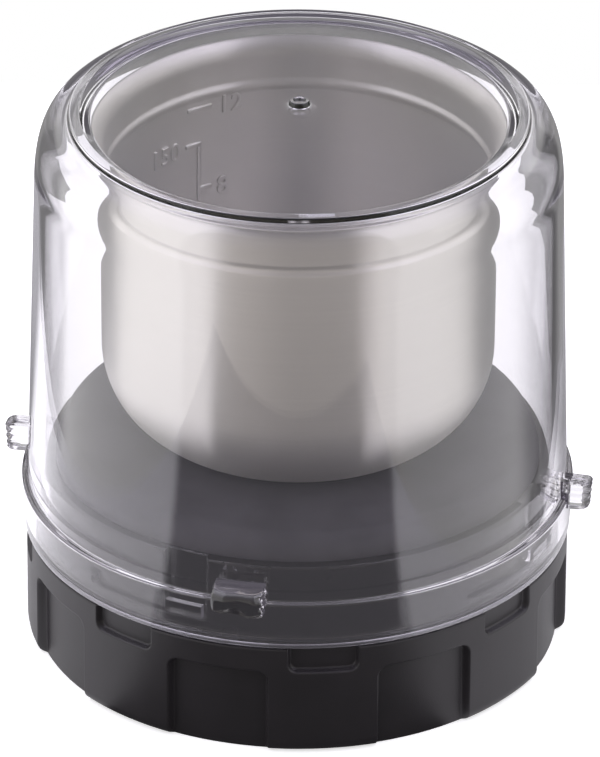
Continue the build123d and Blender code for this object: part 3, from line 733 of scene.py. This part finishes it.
dress(bearing_housing, turned_aluminium, "base", "housing_aluminium", "bearing_housing")

# -------------------- nut and washer under the deck
# Zinc-plated washer and hexagon nut that pull the housing down and clamp bowl, gasket and deck.


def hexagon(name, flats, outline):
    """Closed outline turned about Z, with whatever lies beyond the flats taken back to a hexagon."""
    azimuths = []
    for k in range(6):
        azimuths += [60 * k + step for step in (0, 0.6, 2, 5, 10, 16, 23, 30, 37, 44, 50, 55, 58, 59.4)]

    def side(r, z, azimuth):
        return min(r, flats / 2 / math.cos(math.radians(nearest_turn(azimuth, 30, 6))))

    nut = turned(name, outline, azimuths, side)
    crease(nut, 25)
    return nut


nut_low, nut_top = 32.6, 35.6
nut_bore = sleeve_radius + 0.01
nut_face, nut_corner = 10.1, 11.54
nut_washer = turned("deck_washer", flat_ring(middle_hole, 10.8, nut_top, hub_under, (0.1, 0.25, 0.15, 0.1)), 96)
dress(nut_washer, zinc, "base", "zinc_steel", "nut_washer")
housing_nut = hexagon("deck_nut", 20.0, rounded([
    (nut_bore, nut_low, 0.3), (nut_face, nut_low, 0.1), (nut_corner, 33.4, 0.1), (nut_corner, 34.8, 0.1),
    (nut_face, nut_top, 0.1), (nut_bore, nut_top, 0.3),
]))
dress(housing_nut, zinc, "base", "zinc_steel", "housing_nut")

# -------------------- bushes and lip seal
# Sintered bronze bushes pressed into the housing from both ends, and a rubber lip seal over the upper one.
sintered_bronze = plated("sintered_bronze", (0.62, 0.42, 0.22), 0.45, 0.12, 0.02)
running_bore = 3.03
thrust_radius = 6.0
bush_section = flat_ring(running_bore, bush_radius, top_bush_low, top_bush_high, (0.2, 0.3, 0.2, 0.2))
upper_bush = turned("top_bush", bush_section, 64)
dress(upper_bush, sintered_bronze, "base", "bush_bronze", "upper_bush")
lower_bush = turned("foot_bush", rounded([
    (running_bore, 20.6, 0.2), (thrust_radius, 20.6, 0.2), (thrust_radius, sleeve_foot, 0.1),
    (bush_radius, sleeve_foot, 0.1),
    (bush_radius, foot_bush_high, 0.3), (running_bore, foot_bush_high, 0.2),
]), 64)
dress(lower_bush, sintered_bronze, "base", "bush_bronze", "lower_bush")
seal_rubber = moulded("seal_rubber", (0.02, 0.02, 0.02), 0.5, 0.2, 0.01)
shaft_seal = turned("lip_seal", rounded([
    (3.05, 47.2, 0.1), (3.4, top_bush_high, 0.1), (lip_radius, top_bush_high, 0.1), (lip_radius, sleeve_top, 0.25),
    (3.9, sleeve_top, 0.15), (3.5, 47.4, 0.1), (3.05, 47.8, 0.08),
]), 96)
dress(shaft_seal, seal_rubber, "base", "seal_rubber", "shaft_seal")

# -------------------- drive shaft
# Ground stainless shaft with a clip groove and a pin hole below, two flats for the blades and a thread on top.
ground_steel = brushed("ground_steel", (0.7, 0.7, 0.7), 0.24, 0.5, 0.05)
shaft_radius = 3.0
shaft_foot = 14.4
shaft_top = 59.8
clip_low, clip_high = 18.7, 19.5
flat_reach = 2.1
blade_seat = 49.7
pin_radius = 1.0
pin_height = 16.4
thread_pitch = 0.7


def flat_sided(r, z, azimuth):
    """Radius of the shaft with its two flats above the blades' seat."""
    if z > blade_seat and r > flat_reach:
        return min(r, flat_reach / max(abs(math.sin(math.radians(azimuth))), 0.01))
    return r


shaft_thread = []
for k in range(5):
    shaft_thread += [(1.75, 56.1 + thread_pitch * k, 0), (2.0, 56.45 + thread_pitch * k, 0)]
drive_shaft = turned("blade_shaft", rounded([
    (0, shaft_foot, 0),
    (shaft_radius, shaft_foot, 0.3),
    (shaft_radius, clip_low, 0.05),
    (2.4, clip_low, 0.05),
    (2.4, clip_high, 0.05),
    (shaft_radius, clip_high, 0.05),
    (shaft_radius, blade_seat, 0),
    (shaft_radius, blade_seat + 0.01, 0),
    (shaft_radius, 55.8, 0.1),
    (1.8, 55.85, 0.05),
    *shaft_thread,
    (1.7, shaft_top, 0.2),
    (0, shaft_top, 0),
]), 120, flat_sided)


def cross_bar(name, outline):
    """Round bar along X through the axis at the pin's height."""
    pin = turned(name, outline, 40)
    pin.data.transform(Matrix.Translation((0, 0, pin_height * mm)) @ Matrix.Rotation(math.radians(90), 4, "Y"))
    return pin


pin_hole = [(0, -12), (pin_radius + 0.01, -12), (pin_radius + 0.01, 12), (0, 12)]
cut(drive_shaft, cross_bar("pin_hole", pin_hole), "DIFFERENCE")
crease(drive_shaft, 25)
dress(drive_shaft, ground_steel, "rotor", "shaft_steel", "drive_shaft")

# -------------------- thrust washer and retaining clip
# The washer runs against the lower bush and an E-shaped clip snapped into the shaft's groove holds it up.
thrust_section = flat_ring(running_bore, thrust_radius, clip_high, 20.5, (0.1, 0.2, 0.2, 0.1))
thrust_washer = turned("thrust_ring", thrust_section, 64)
dress(thrust_washer, zinc, "rotor", "zinc_steel", "thrust_washer")
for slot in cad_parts["retaining_clip"].material_slots:
    slot.material = zinc

# -------------------- blades
# Two stamped stainless blades at right angles, keyed on the shaft's flats. The lower sweeps the bottom and
# the upper one is turned up. Each arm's leading edge is ground, and the flats of the shaft stop it turning.
blade_steel = brushed("blade_steel", (0.76, 0.76, 0.76), 0.18, 0.4, 0.05)
hub_radius = 6.4
blade_thickness = 1.2
keyed_bore = shaft_radius + 0.05
keyed_reach = flat_reach + 0.05
flats_plan = []
for k in range(64):
    a = 2 * math.pi * k / 64
    r = min(keyed_bore, keyed_reach / max(abs(math.sin(a)), 0.01))
    flats_plan.append((r * math.cos(a), r * math.sin(a)))


def blade(name, height, reach, slope, azimuth):
    """Two-armed blade: flat round the hub, then each arm slopes, with a ground leading edge and rounded tip."""
    half = 4.0
    corner = 2.5
    softening = 0.12
    stations = [reach - corner * (1 - math.sin(math.radians(9 * k))) for k in range(11)]
    stations = [0.0, 1.5, 3.0, 4.0, 5.0, 5.6, 6.2, 6.4, 6.8, 9, 12, 15, 18, 20.5] + stations
    stations = sorted({round(s, 4) for s in stations if s <= reach})
    stations = [-s for s in stations[:0:-1]] + stations
    loops = []
    for x in stations:
        far = abs(x)
        width = half if far > 4.996 else math.sqrt(hub_radius**2 - far**2)
        if far > reach - corner:
            width = half - corner + math.sqrt(max(corner**2 - (far - reach + corner) ** 2, 0.0004))
        lift = max(far - hub_radius, 0) * math.tan(math.radians(slope))
        ground = min(max((far - hub_radius - 0.4) / 2.5, 0), 1)
        lead = 1 if x > 0 else -1
        loop = []
        rows = [-width, -width + softening, -0.5 * width, 0, 0.25 * width, min(1.4, 0.35 * width), width - 0.1, width]
        for side in rows:
            fall = ground * 0.8 * min(max((side - 1.4) / 2.6, 0), 1)
            edge = softening if side in (rows[0], rows[-1]) else 0
            loop.append((x, lead * side, height + lift + blade_thickness - fall - edge))
        for side in rows[::-1]:
            edge = softening if side in (rows[0], rows[-1]) else 0
            loop.append((x, lead * side, height + lift + edge))
        if lead < 0:
            loop = loop[7::-1] + loop[:7:-1]
        loops.append(loop)
    piece = skin(name, loops)
    piece.data.transform(Matrix.Rotation(math.radians(azimuth), 4, "Z"))
    cut(piece, bar(flats_plan, height - 1, height + 2.5), "DIFFERENCE", folded=True)
    crease(piece, 14)
    return piece


lower_blade = blade("sweeping_blade", blade_seat, 26.0, -8.0, 0)
dress(lower_blade, blade_steel, "rotor", "blade_steel", "lower_blade")
upper_blade = blade("lifting_blade", 53.9, 22.0, 28.0, 90)
dress(upper_blade, blade_steel, "rotor", "blade_steel", "upper_blade")

# -------------------- spacer, washer and cap nut
# Turned spacer between the blades, a washer over them and a domed hexagon nut on the shaft's thread.


def keyed(r, z, azimuth):
    """Radius of a ring whose bore has the shaft's two flats."""
    return min(r, keyed_reach / max(abs(math.sin(math.radians(azimuth))), 0.01)) if r < 3.3 else r


spacer_top = 53.9
nut_seat_top = 56.1
for name, node, low, high in (("blade_collar", "blade_spacer", 50.9, spacer_top),
                              ("nut_seat", "blade_washer", 55.1, nut_seat_top)):
    ring = turned(name, flat_ring(keyed_bore, 5.2, low, high, (0.1, 0.15, 0.2, 0.1)), 120, keyed)
    crease(ring, 35)
    dress(ring, ground_steel, "rotor", "shaft_steel", node)
cap = [(3.7 - 3.7 * k / 12, 60.1 + 2.6 * math.sqrt(1 - (1 - k / 12) ** 2), 0) for k in range(13)]
blade_nut = hexagon("cap_nut", 8.0, rounded([
    (2.01, nut_seat_top, 0.1), (4.05, nut_seat_top, 0.05), (4.62, 56.45, 0.05), (4.62, 59.6, 0.05),
    (4.05, 60.1, 0.05), *cap, (0, 60.0, 0), (2.01, 60.0, 0),
]))
dress(blade_nut, blade_steel, "rotor", "shaft_steel", "blade_nut")

# -------------------- drive coupling and its pin
# Moulded nylon dog coupling with four drive slots in its socket, held on the shaft by a steel cross pin.
coupling_nylon = moulded("coupling_nylon", (0.07, 0.07, 0.076), 0.4, 0.18, 0.02)
socket_radius = 6.5
socket_floor = 13.9
coupling_radius = 11.0
coupling_low, coupling_high = 6.1, 18.7
drive_slot_half, drive_slot_depth = 1.0, 1.8


def socket_slots(r, z, azimuth):
    """Radius of the socket with its four drive slots."""
    across = abs(math.radians(nearest_turn(azimuth, 0, 4))) * socket_radius
    at_wall = -0.5 < r - socket_radius < 0.7 and z < socket_floor + 0.1
    return r + drive_slot_depth if at_wall and across < drive_slot_half else r


socket_steps = (-8.9, -8.7, -4, 0, 4, 8.7, 8.9, 14, 21, 28, 36, 45, 54, 62, 69, 76)
socket_azimuths = sorted((90 * k + step) % 360 for k in range(4) for step in socket_steps)
drive_coupling = turned("dog_coupling", rounded([
    (shaft_radius + 0.01, socket_floor + 0.2, 0.2),
    (socket_radius, socket_floor + 0.2, 0.1),
    (socket_radius, socket_floor, 0),
    (socket_radius, coupling_low, 0.4),
    (coupling_radius, coupling_low, 0.7),
    (coupling_radius, coupling_high, 0.7),
    (shaft_radius + 0.01, coupling_high, 0.3),
]), socket_azimuths, socket_slots)
cut(drive_coupling, cross_bar("pin_hole", pin_hole), "DIFFERENCE")
crease(drive_coupling, 35)
dress(drive_coupling, coupling_nylon, "rotor", "coupling_nylon", "drive_coupling")
pin_reach = 9.8
coupling_pin = cross_bar("cross_pin", rounded([
    (0, -pin_reach, 0), (pin_radius, -pin_reach, 0.25), (pin_radius, pin_reach, 0.25), (0, pin_reach, 0),
]))
dress(coupling_pin, ground_steel, "rotor", "shaft_steel", "coupling_pin")

# -------------------- bottom plate
# Flat moulded disc that closes the base inside its foot, with a tube round the coupling.
plate_low, plate_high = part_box("bottom_plate")
plate_foot = plate_low.z / mm
plate_head = plate_high.z / mm
plate_sheet = 2.0
plate_rim = 45.9
well_inner, well_outer = 17.0, 18.6
bottom_plate = turned("base_plate", rounded([
    (well_inner, plate_foot, 0.3),
    (plate_rim, plate_foot, 0.3),
    (plate_rim, plate_foot + plate_sheet, 0.3),
    (well_outer, plate_foot + plate_sheet, 0.3),
    (well_outer, plate_head, 0.3),
    (well_inner, plate_head, 0.3),
]), 128)
dress(bottom_plate, black_plastic, "base", "black_plastic", "bottom_plate")

# -------------------- plate screws
# Four more of the same screws, shorter in grip, hold the bottom plate to the base's bosses.
plate_screws = screw_circle("plate_screw_ring", pan_screw(11.0), zinc, 4, plate_circle, 45, plate_foot)
dress(plate_screws, zinc, "base", "zinc_steel", "plate_screws")

# -------------------- clear cup
# One clear moulding: drafted wall, full shoulder, raised ring round a crowned plate with the gate's pip, and
# a skirt with four lugs outside and four bayonet tabs inside.
rim_height = 22.4
skirt_top = 32.05
skirt_radius = 51.65
cup_radius = 50.5
cup_bore = 47.7
shoulder_radius = 48.8
shoulder_bore = 46.5
bore_top = 95.0
shoulder_base = 91.4
shoulder_top = 105.7
shoulder_fullness = 0.69
ring_radius = 42.5
ring_top = 106.7
ring_inner = 40.42
ring_edge = 0.7
plate_radius = 38.55
plate_edge = 105.55
under_radius = 42.5
under_height = 103.77
under_rise = 0.5
under_run = 0.43
crown = 2.6
pip_radius = 2.0
pip_height = 1.0


def shoulder(start, end, rise, run):
    """Points of the shoulder's full quarter round, from the wall to the top or back."""
    guides = (start[0], start[1] + rise * (end[1] - start[1])), (end[0] + run * (start[0] - end[0]), end[1])
    return quarter((start, *guides, end), 1, 18, 18)


def dome(radius, height, rise, stop, steps):
    """Points of a shallow dome from its edge inwards."""
    sphere = (radius**2 + rise**2) / (2 * rise)
    points = []
    for k in range(1, steps + 1):
        r = radius + (stop - radius) * k / steps
        points.append((r, height + rise - sphere + math.sqrt(sphere**2 - r**2), 0))
    return points


plate_dome = dome(plate_radius, plate_edge, crown, pip_radius + 0.3, 14)
pip_base = plate_dome[-1][1]
pip_top = pip_base + pip_height - 0.1
pip = [
    (pip_radius, pip_base + 0.05, 0.1), (pip_radius - 0.25, pip_top, 0.3), (pip_radius - 0.75, pip_top, 0.3),
    (0.7, pip_base + 0.35, 0.6), (0, pip_base + 0.3, 0),
]
under_dome = dome(under_radius, under_height, crown, 0, 14)
cup_outline = rounded([
    (cup_bore, rim_height, 0.4),
    (skirt_radius - 0.5, rim_height, 0.5),
    (skirt_radius, skirt_top, 0.7),
    (cup_radius, skirt_top, 0.35),
    (shoulder_radius, shoulder_base, 0),
    *shoulder((shoulder_radius, shoulder_base), (ring_radius, shoulder_top), shoulder_fullness, shoulder_fullness),
    (ring_radius, shoulder_top, 0.25),
    (ring_radius, ring_top, ring_edge),
    (ring_inner, ring_top, ring_edge),
    (plate_radius, plate_edge, 0.6),
    *plate_dome,
    *pip,
    *under_dome[::-1],
    (under_radius, under_height, 0),
    *shoulder((shoulder_bore, bore_top), (under_radius, under_height), under_rise, under_run)[::-1],
    (shoulder_bore, bore_top, 0),
    (cup_bore, 38.4, 0.3),
])
cup = turned("cup_body", cup_outline, 288)
lug_low = 30.2
lug_high = 35.8
lug_reach = 5.5
lug_taper = 0.4


def lug_plan(t, width, notched):
    """Plan of a lug at a share t of its height. A narrow lug's end is fluted, a wide one's is hollow and ribbed."""
    root = cup_radius - 1.2
    curl = 2.2 if notched else 0.7
    to_end = min(t, 1 - t) * (lug_high - lug_low)
    back = curl - math.sqrt(curl**2 - max(curl - to_end, 0) ** 2)
    middle = 0.1 < t < 0.9
    flute = 0.09 * (1 - math.cos(8 * math.pi * t)) if middle and not notched else 0
    tip = cup_radius + lug_reach - lug_taper * (1 - t) - back - flute
    half = width / 2 - 0.4 * min(back, 0.7) - 0.35 * flute
    if not notched:
        return rounded([(root, -half, 0), (tip, -half, 1.6), (tip, half, 0.9), (root, half, 0)])
    rib = 0.2 * (1 - math.cos(6 * math.pi * t)) if middle else 0
    hollow = 0.5 * math.sin(math.pi * t) ** 2
    return rounded([
        (root, -half, 0), (tip - 0.9, -half, 1.2), (tip, -0.45 * half, 1.5), (tip - hollow, 0.1 * half, 1.0),
        (tip, 0.7 * half, 0.8), (tip - 0.9, half - rib, 0.6), (root, half - rib, 0),
    ])


def notch_bar():
    """Round bar that cuts the detent under a wide lug."""
    chord = 3.3
    depth = 1.5
    radius = (chord**2 + depth**2) / (2 * depth)
    shape = bmesh.new()
    size = radius * mm
    bmesh.ops.create_cone(shape, cap_ends=True, segments=64, radius1=size, radius2=size, depth=8 * mm)
    notch = made("notch_bar", shape)
    middle = (cup_radius + 5.3, -0.8, lug_low + depth - radius)
    notch.data.transform(Matrix.Rotation(math.radians(90), 4, "Y"))
    notch.data.transform(Matrix.Translation([length * mm for length in middle]))
    return notch


lug_rows = 33
for azimuth, width, notched in ((-90, 9.8, True), (90, 9.8, True), (0, 4.2, False), (180, 4.2, False)):
    rings = []
    for k in range(lug_rows):
        t = k / (lug_rows - 1)
        rings.append([(x, y, lug_low + t * (lug_high - lug_low)) for x, y in lug_plan(t, width, notched)])
    lug = skin("lug", rings)
    if notched:
        cut(lug, notch_bar(), "DIFFERENCE")
    lug.data.transform(Matrix.Rotation(math.radians(azimuth), 4, "Z"))
    cut(cup, lug, "UNION")
tab_inner, tab_outer = 46.3, 48.9
tab_low, tab_high = 26.0, 28.4
tab_section = [(tab_inner, tab_low), (tab_outer, tab_low), (tab_outer, tab_high), (tab_inner, tab_high)]
tab_half = math.degrees(3.5 / cup_bore)
for k in range(4):
    rings = []
    for part in range(9):
        a = math.radians(tab_azimuth + 90 * k - tab_half + 2 * tab_half * part / 8)
        rings.append([(r * math.cos(a), r * math.sin(a), z) for r, z in tab_section])
    cut(cup, skin("tab", rings), "UNION")
crease(cup, 35)

clear_plastic, tree, shader, place = material_tree("clear_plastic")
# Painted glow: the cup's wall, from the ring out to the skirt but not the lugs, gives off a faint violet light of its
# own that stands in for light in the plastic.
painted_glow_strength = 0.011
smoke = added(tree, "ShaderNodeVolumeAbsorption", Color=(0.78, 0.765, 0.8, 1), Density=60)
fed(tree, tree.nodes["Material Output"], Volume=smoke.outputs["Volume"])
x, y, _ = axes(tree, place)
radius = maths(tree, "SQRT", plus(tree, maths(tree, "POWER", x, 2.0), maths(tree, "POWER", y, 2.0)))
from_ring = ranged(tree, radius, ring_radius * mm, (ring_radius + 0.8) * mm, soft=True)
past_skirt = ranged(tree, radius, skirt_radius * mm, (skirt_radius + 0.5) * mm, soft=True)
painted_glow = times(tree, minus(tree, from_ring, past_skirt), painted_glow_strength)
fed(tree, shader, Base_Color=(0.97, 0.965, 0.97, 1), Roughness=0.0, IOR=1.57, Transmission_Weight=1,
    Emission_Color=(0.92, 0.87, 1.0, 1), Emission_Strength=painted_glow)
clear_plastic.cycles.emission_sampling = "NONE"
dress(cup, clear_plastic, "cup", "clear_plastic", "clear_cup")

# -------------------- studio
# Small pale floor board in a soft white room: a wide soft source at each side, a pale ceiling, and dimmer gaps
# in front, behind and beside the backdrop that draw the clear cup's edges.
camera_azimuth = 11.6
camera_elevation = 28.8
camera_distance = 1.6
camera_target = Vector((0, 0, 0.05))
camera_roll = 0.323
image_height = 757
source_edge = 1.5
left_fade = 4
right_fade = 10


def soft_step(tree, value, start, end):
    """Smooth rise from 0 to 1 as a value goes from start to end."""
    return ranged(tree, value, start, end, soft=True)


def rest_of(tree, share):
    """What a share leaves over."""
    return minus(tree, 1.0, share)


def sectors(tree, direction, left, right):
    """Shares of the room by the bearing from the camera's side in degrees, with a soft source in left and right."""
    turned_room = (0, 0, math.radians(-camera_azimuth))
    turn = added(tree, "ShaderNodeMapping", Vector=direction, Rotation=turned_room)
    sideways, away, height = axes(tree, turn.outputs["Vector"])
    bearing = maths(tree, "DEGREES", maths(tree, "ARCTAN2", sideways, times(tree, away, -1)))
    leftwards = times(tree, bearing, -1)
    left_start = soft_step(tree, leftwards, left[0] - source_edge, left[0] + source_edge)
    left_end = soft_step(tree, leftwards, left[1] - left_fade, left[1] + left_fade)
    right_start = soft_step(tree, bearing, right[0] - source_edge, right[0] + source_edge)
    right_end = soft_step(tree, bearing, right[1] - right_fade, right[1] + right_fade)
    behind = soft_step(tree, maths(tree, "ABSOLUTE", bearing), 168, 174)
    shares = {
        "front": minus(tree, rest_of(tree, left_start), right_start),
        "front left": times(tree, soft_step(tree, leftwards, 0, 48), rest_of(tree, left_start)),
        "front right": times(tree, soft_step(tree, bearing, 25, 43), rest_of(tree, right_start)),
        "left": minus(tree, left_start, left_end),
        "right": minus(tree, right_start, right_end),
        "corners": minus(tree, plus(tree, left_end, right_end), behind),
        "behind": behind,
    }
    return shares, bearing, height, sideways


def total(tree, levels):
    """Sum of shares, each times its level."""
    level = 0.0
    for share, amount in levels:
        level = maths(tree, "MULTIPLY_ADD", share, amount, level)
    return level


def rays(tree):
    """Whether a ray comes straight from the camera, and how often it was reflected or scattered."""
    paths = added(tree, "ShaderNodeLightPath").outputs
    return paths["Is Camera Ray"], plus(tree, paths["Glossy Depth"], paths["Diffuse Depth"])


board = [(-122, -190), (95, -190), (95, 90), (84, 100), (84, 150), (66, 178), (66, 222),
         (-65, 222), (-65, 185), (-122, 165)]
floor_mesh = bpy.data.meshes.new("floor")
floor_mesh.from_pydata([(x * mm, y * mm, -0.02 * mm) for x, y in board], [], [tuple(range(len(board)))])
floor_mesh.transform(Matrix.Rotation(math.radians(camera_azimuth), 4, "Z"))
floor = linked("floor", floor_mesh)
floor_white, tree, shader, place = material_tree("floor_white")
seen, bounced = rays(tree)
room, _, _, _ = sectors(tree, place, left=(45, 134), right=(35, 120))
shade = total(tree, (
    (room["front"], 0.1), (room["left"], 0.85), (room["right"], 0.75), (room["corners"], 0.25),
    (room["behind"], 0.9),
))
direct = maths(tree, "LESS_THAN", bounced, 0.5)
seen_through = times(tree, direct, rest_of(tree, seen))
paleness = times(tree, maths(tree, "MAXIMUM", direct, shade), 0.85)
paleness = maths(tree, "MULTIPLY_ADD", seen_through, -0.17, paleness)
grey = added(tree, "ShaderNodeCombineColor", Red=paleness, Green=paleness, Blue=paleness).outputs["Color"]
glow = maths(tree, "MULTIPLY_ADD", direct, -0.15, 0.85)
fed(tree, shader, Roughness=0.9, Specular_IOR_Level=0.0, Base_Color=grey, Emission_Color=grey, Emission_Strength=glow)
floor.data.materials.append(floor_white)

world = bpy.data.worlds.new("studio")
bpy.context.scene.world = world
world.use_nodes = True
tree = world.node_tree
seen, bounced = rays(tree)
reflected = maths(tree, "GREATER_THAN", bounced, 0.5)
direction = added(tree, "ShaderNodeTexCoord").outputs["Generated"]
room, bearing, height, sideways = sectors(tree, direction, left=(51, 122), right=(43, 114))
aside = maths(tree, "ABSOLUTE", bearing)
right_gap = minus(tree, soft_step(tree, bearing, 126, 130), soft_step(tree, bearing, 150, 156))
left_gap = minus(tree, soft_step(tree, bearing, -158, -152), soft_step(tree, bearing, -140, -132))
gaps = total(tree, ((right_gap, -0.17), (left_gap, -0.1)))

# The room as reflections show it: soft sources that are brighter high up, a pale upper room with a dimmer
# sector behind, and a ceiling with a light at each side.
high = soft_step(tree, height, 0.45, 0.65)
level = total(tree, (
    (room["front"], 0.55), (room["front left"], 0.4), (room["front right"], 0.1),
    (times(tree, soft_step(tree, height, 0.0, 0.3), room["front"]), -0.2),
    (room["left"], 1.42), (times(tree, high, room["left"]), 0.73),
    (room["right"], 1.14), (times(tree, high, room["right"]), 1.01),
    (room["corners"], 0.25), (room["behind"], 0.24),
))
upper_level = maths(tree, "MULTIPLY_ADD", soft_step(tree, aside, 166, 178), -1.3, 1.6)
upper_share = times(tree, soft_step(tree, height, 0.15, 0.4), soft_step(tree, aside, 55, 65))
level = maths(tree, "MAXIMUM", plus(tree, level, gaps), times(tree, upper_share, upper_level))
overhead = soft_step(tree, height, 0.78, 0.93)
sides = soft_step(tree, maths(tree, "ABSOLUTE", sideways), 0.12, 0.4)
ceiling = maths(tree, "MULTIPLY_ADD", sides, 1.6, 0.7)
level = plus(tree, times(tree, level, rest_of(tree, overhead)), times(tree, overhead, ceiling))

# The room as it shows through the clear cup.
far_wall = total(tree, (
    (room["front"], 0.96), (room["front left"], 0.4), (room["front right"], 0.1),
    (room["left"], 0.96), (room["right"], 0.96), (room["corners"], 0.25), (room["behind"], 0.2),
))
above_floor = times(tree, soft_step(tree, height, -0.3, -0.15), 0.45)
far_wall = maths(tree, "MAXIMUM", plus(tree, far_wall, gaps), above_floor)
seen_through = times(tree, rest_of(tree, seen), rest_of(tree, reflected))
strength = plus(tree, seen, times(tree, reflected, level))
strength = plus(tree, strength, times(tree, seen_through, far_wall))


def tint(one, two, share):
    """Mix of two colours, either of them a node's output, by a share."""
    mix = tree.nodes.new("ShaderNodeMix")
    mix.data_type = "RGBA"
    return fed(tree, mix, A=one, B=two, Factor=share).outputs["Result"]


warm_front = tint((1.0, 0.94, 0.87, 1), (1.0, 0.99, 0.98, 1), soft_step(tree, aside, 30, 55))
cool_above = tint(warm_front, (0.9, 0.87, 1.0, 1), soft_step(tree, height, 0.35, 0.7))
fed(tree, tree.nodes["Background"], Color=tint((1, 1, 1, 1), cool_above, reflected), Strength=strength)
bpy.context.scene.cycles.max_bounces = 20
bpy.context.scene.cycles.transmission_bounces = 20
bpy.context.scene.cycles.glossy_bounces = 12

camera_data = bpy.data.cameras.new("camera")
camera_data.sensor_width = 36
camera_data.lens = 408.2
camera_data.shift_x = 2.11 / image_height
camera_data.shift_y = 3.92 / image_height
camera = linked("camera", camera_data)
a, e = math.radians(camera_azimuth), math.radians(camera_elevation)
back = Vector((math.sin(a) * math.cos(e), -math.cos(a) * math.cos(e), math.sin(e)))
roll = Matrix.Rotation(math.radians(camera_roll), 3, "Z")
camera.matrix_world = (
    Matrix.Translation(camera_target + back * camera_distance)
    @ ((-back).to_track_quat("-Z", "Y").to_matrix() @ roll).to_4x4()
)
bpy.context.scene.camera = camera
bpy.context.scene.view_settings.view_transform = "Standard"
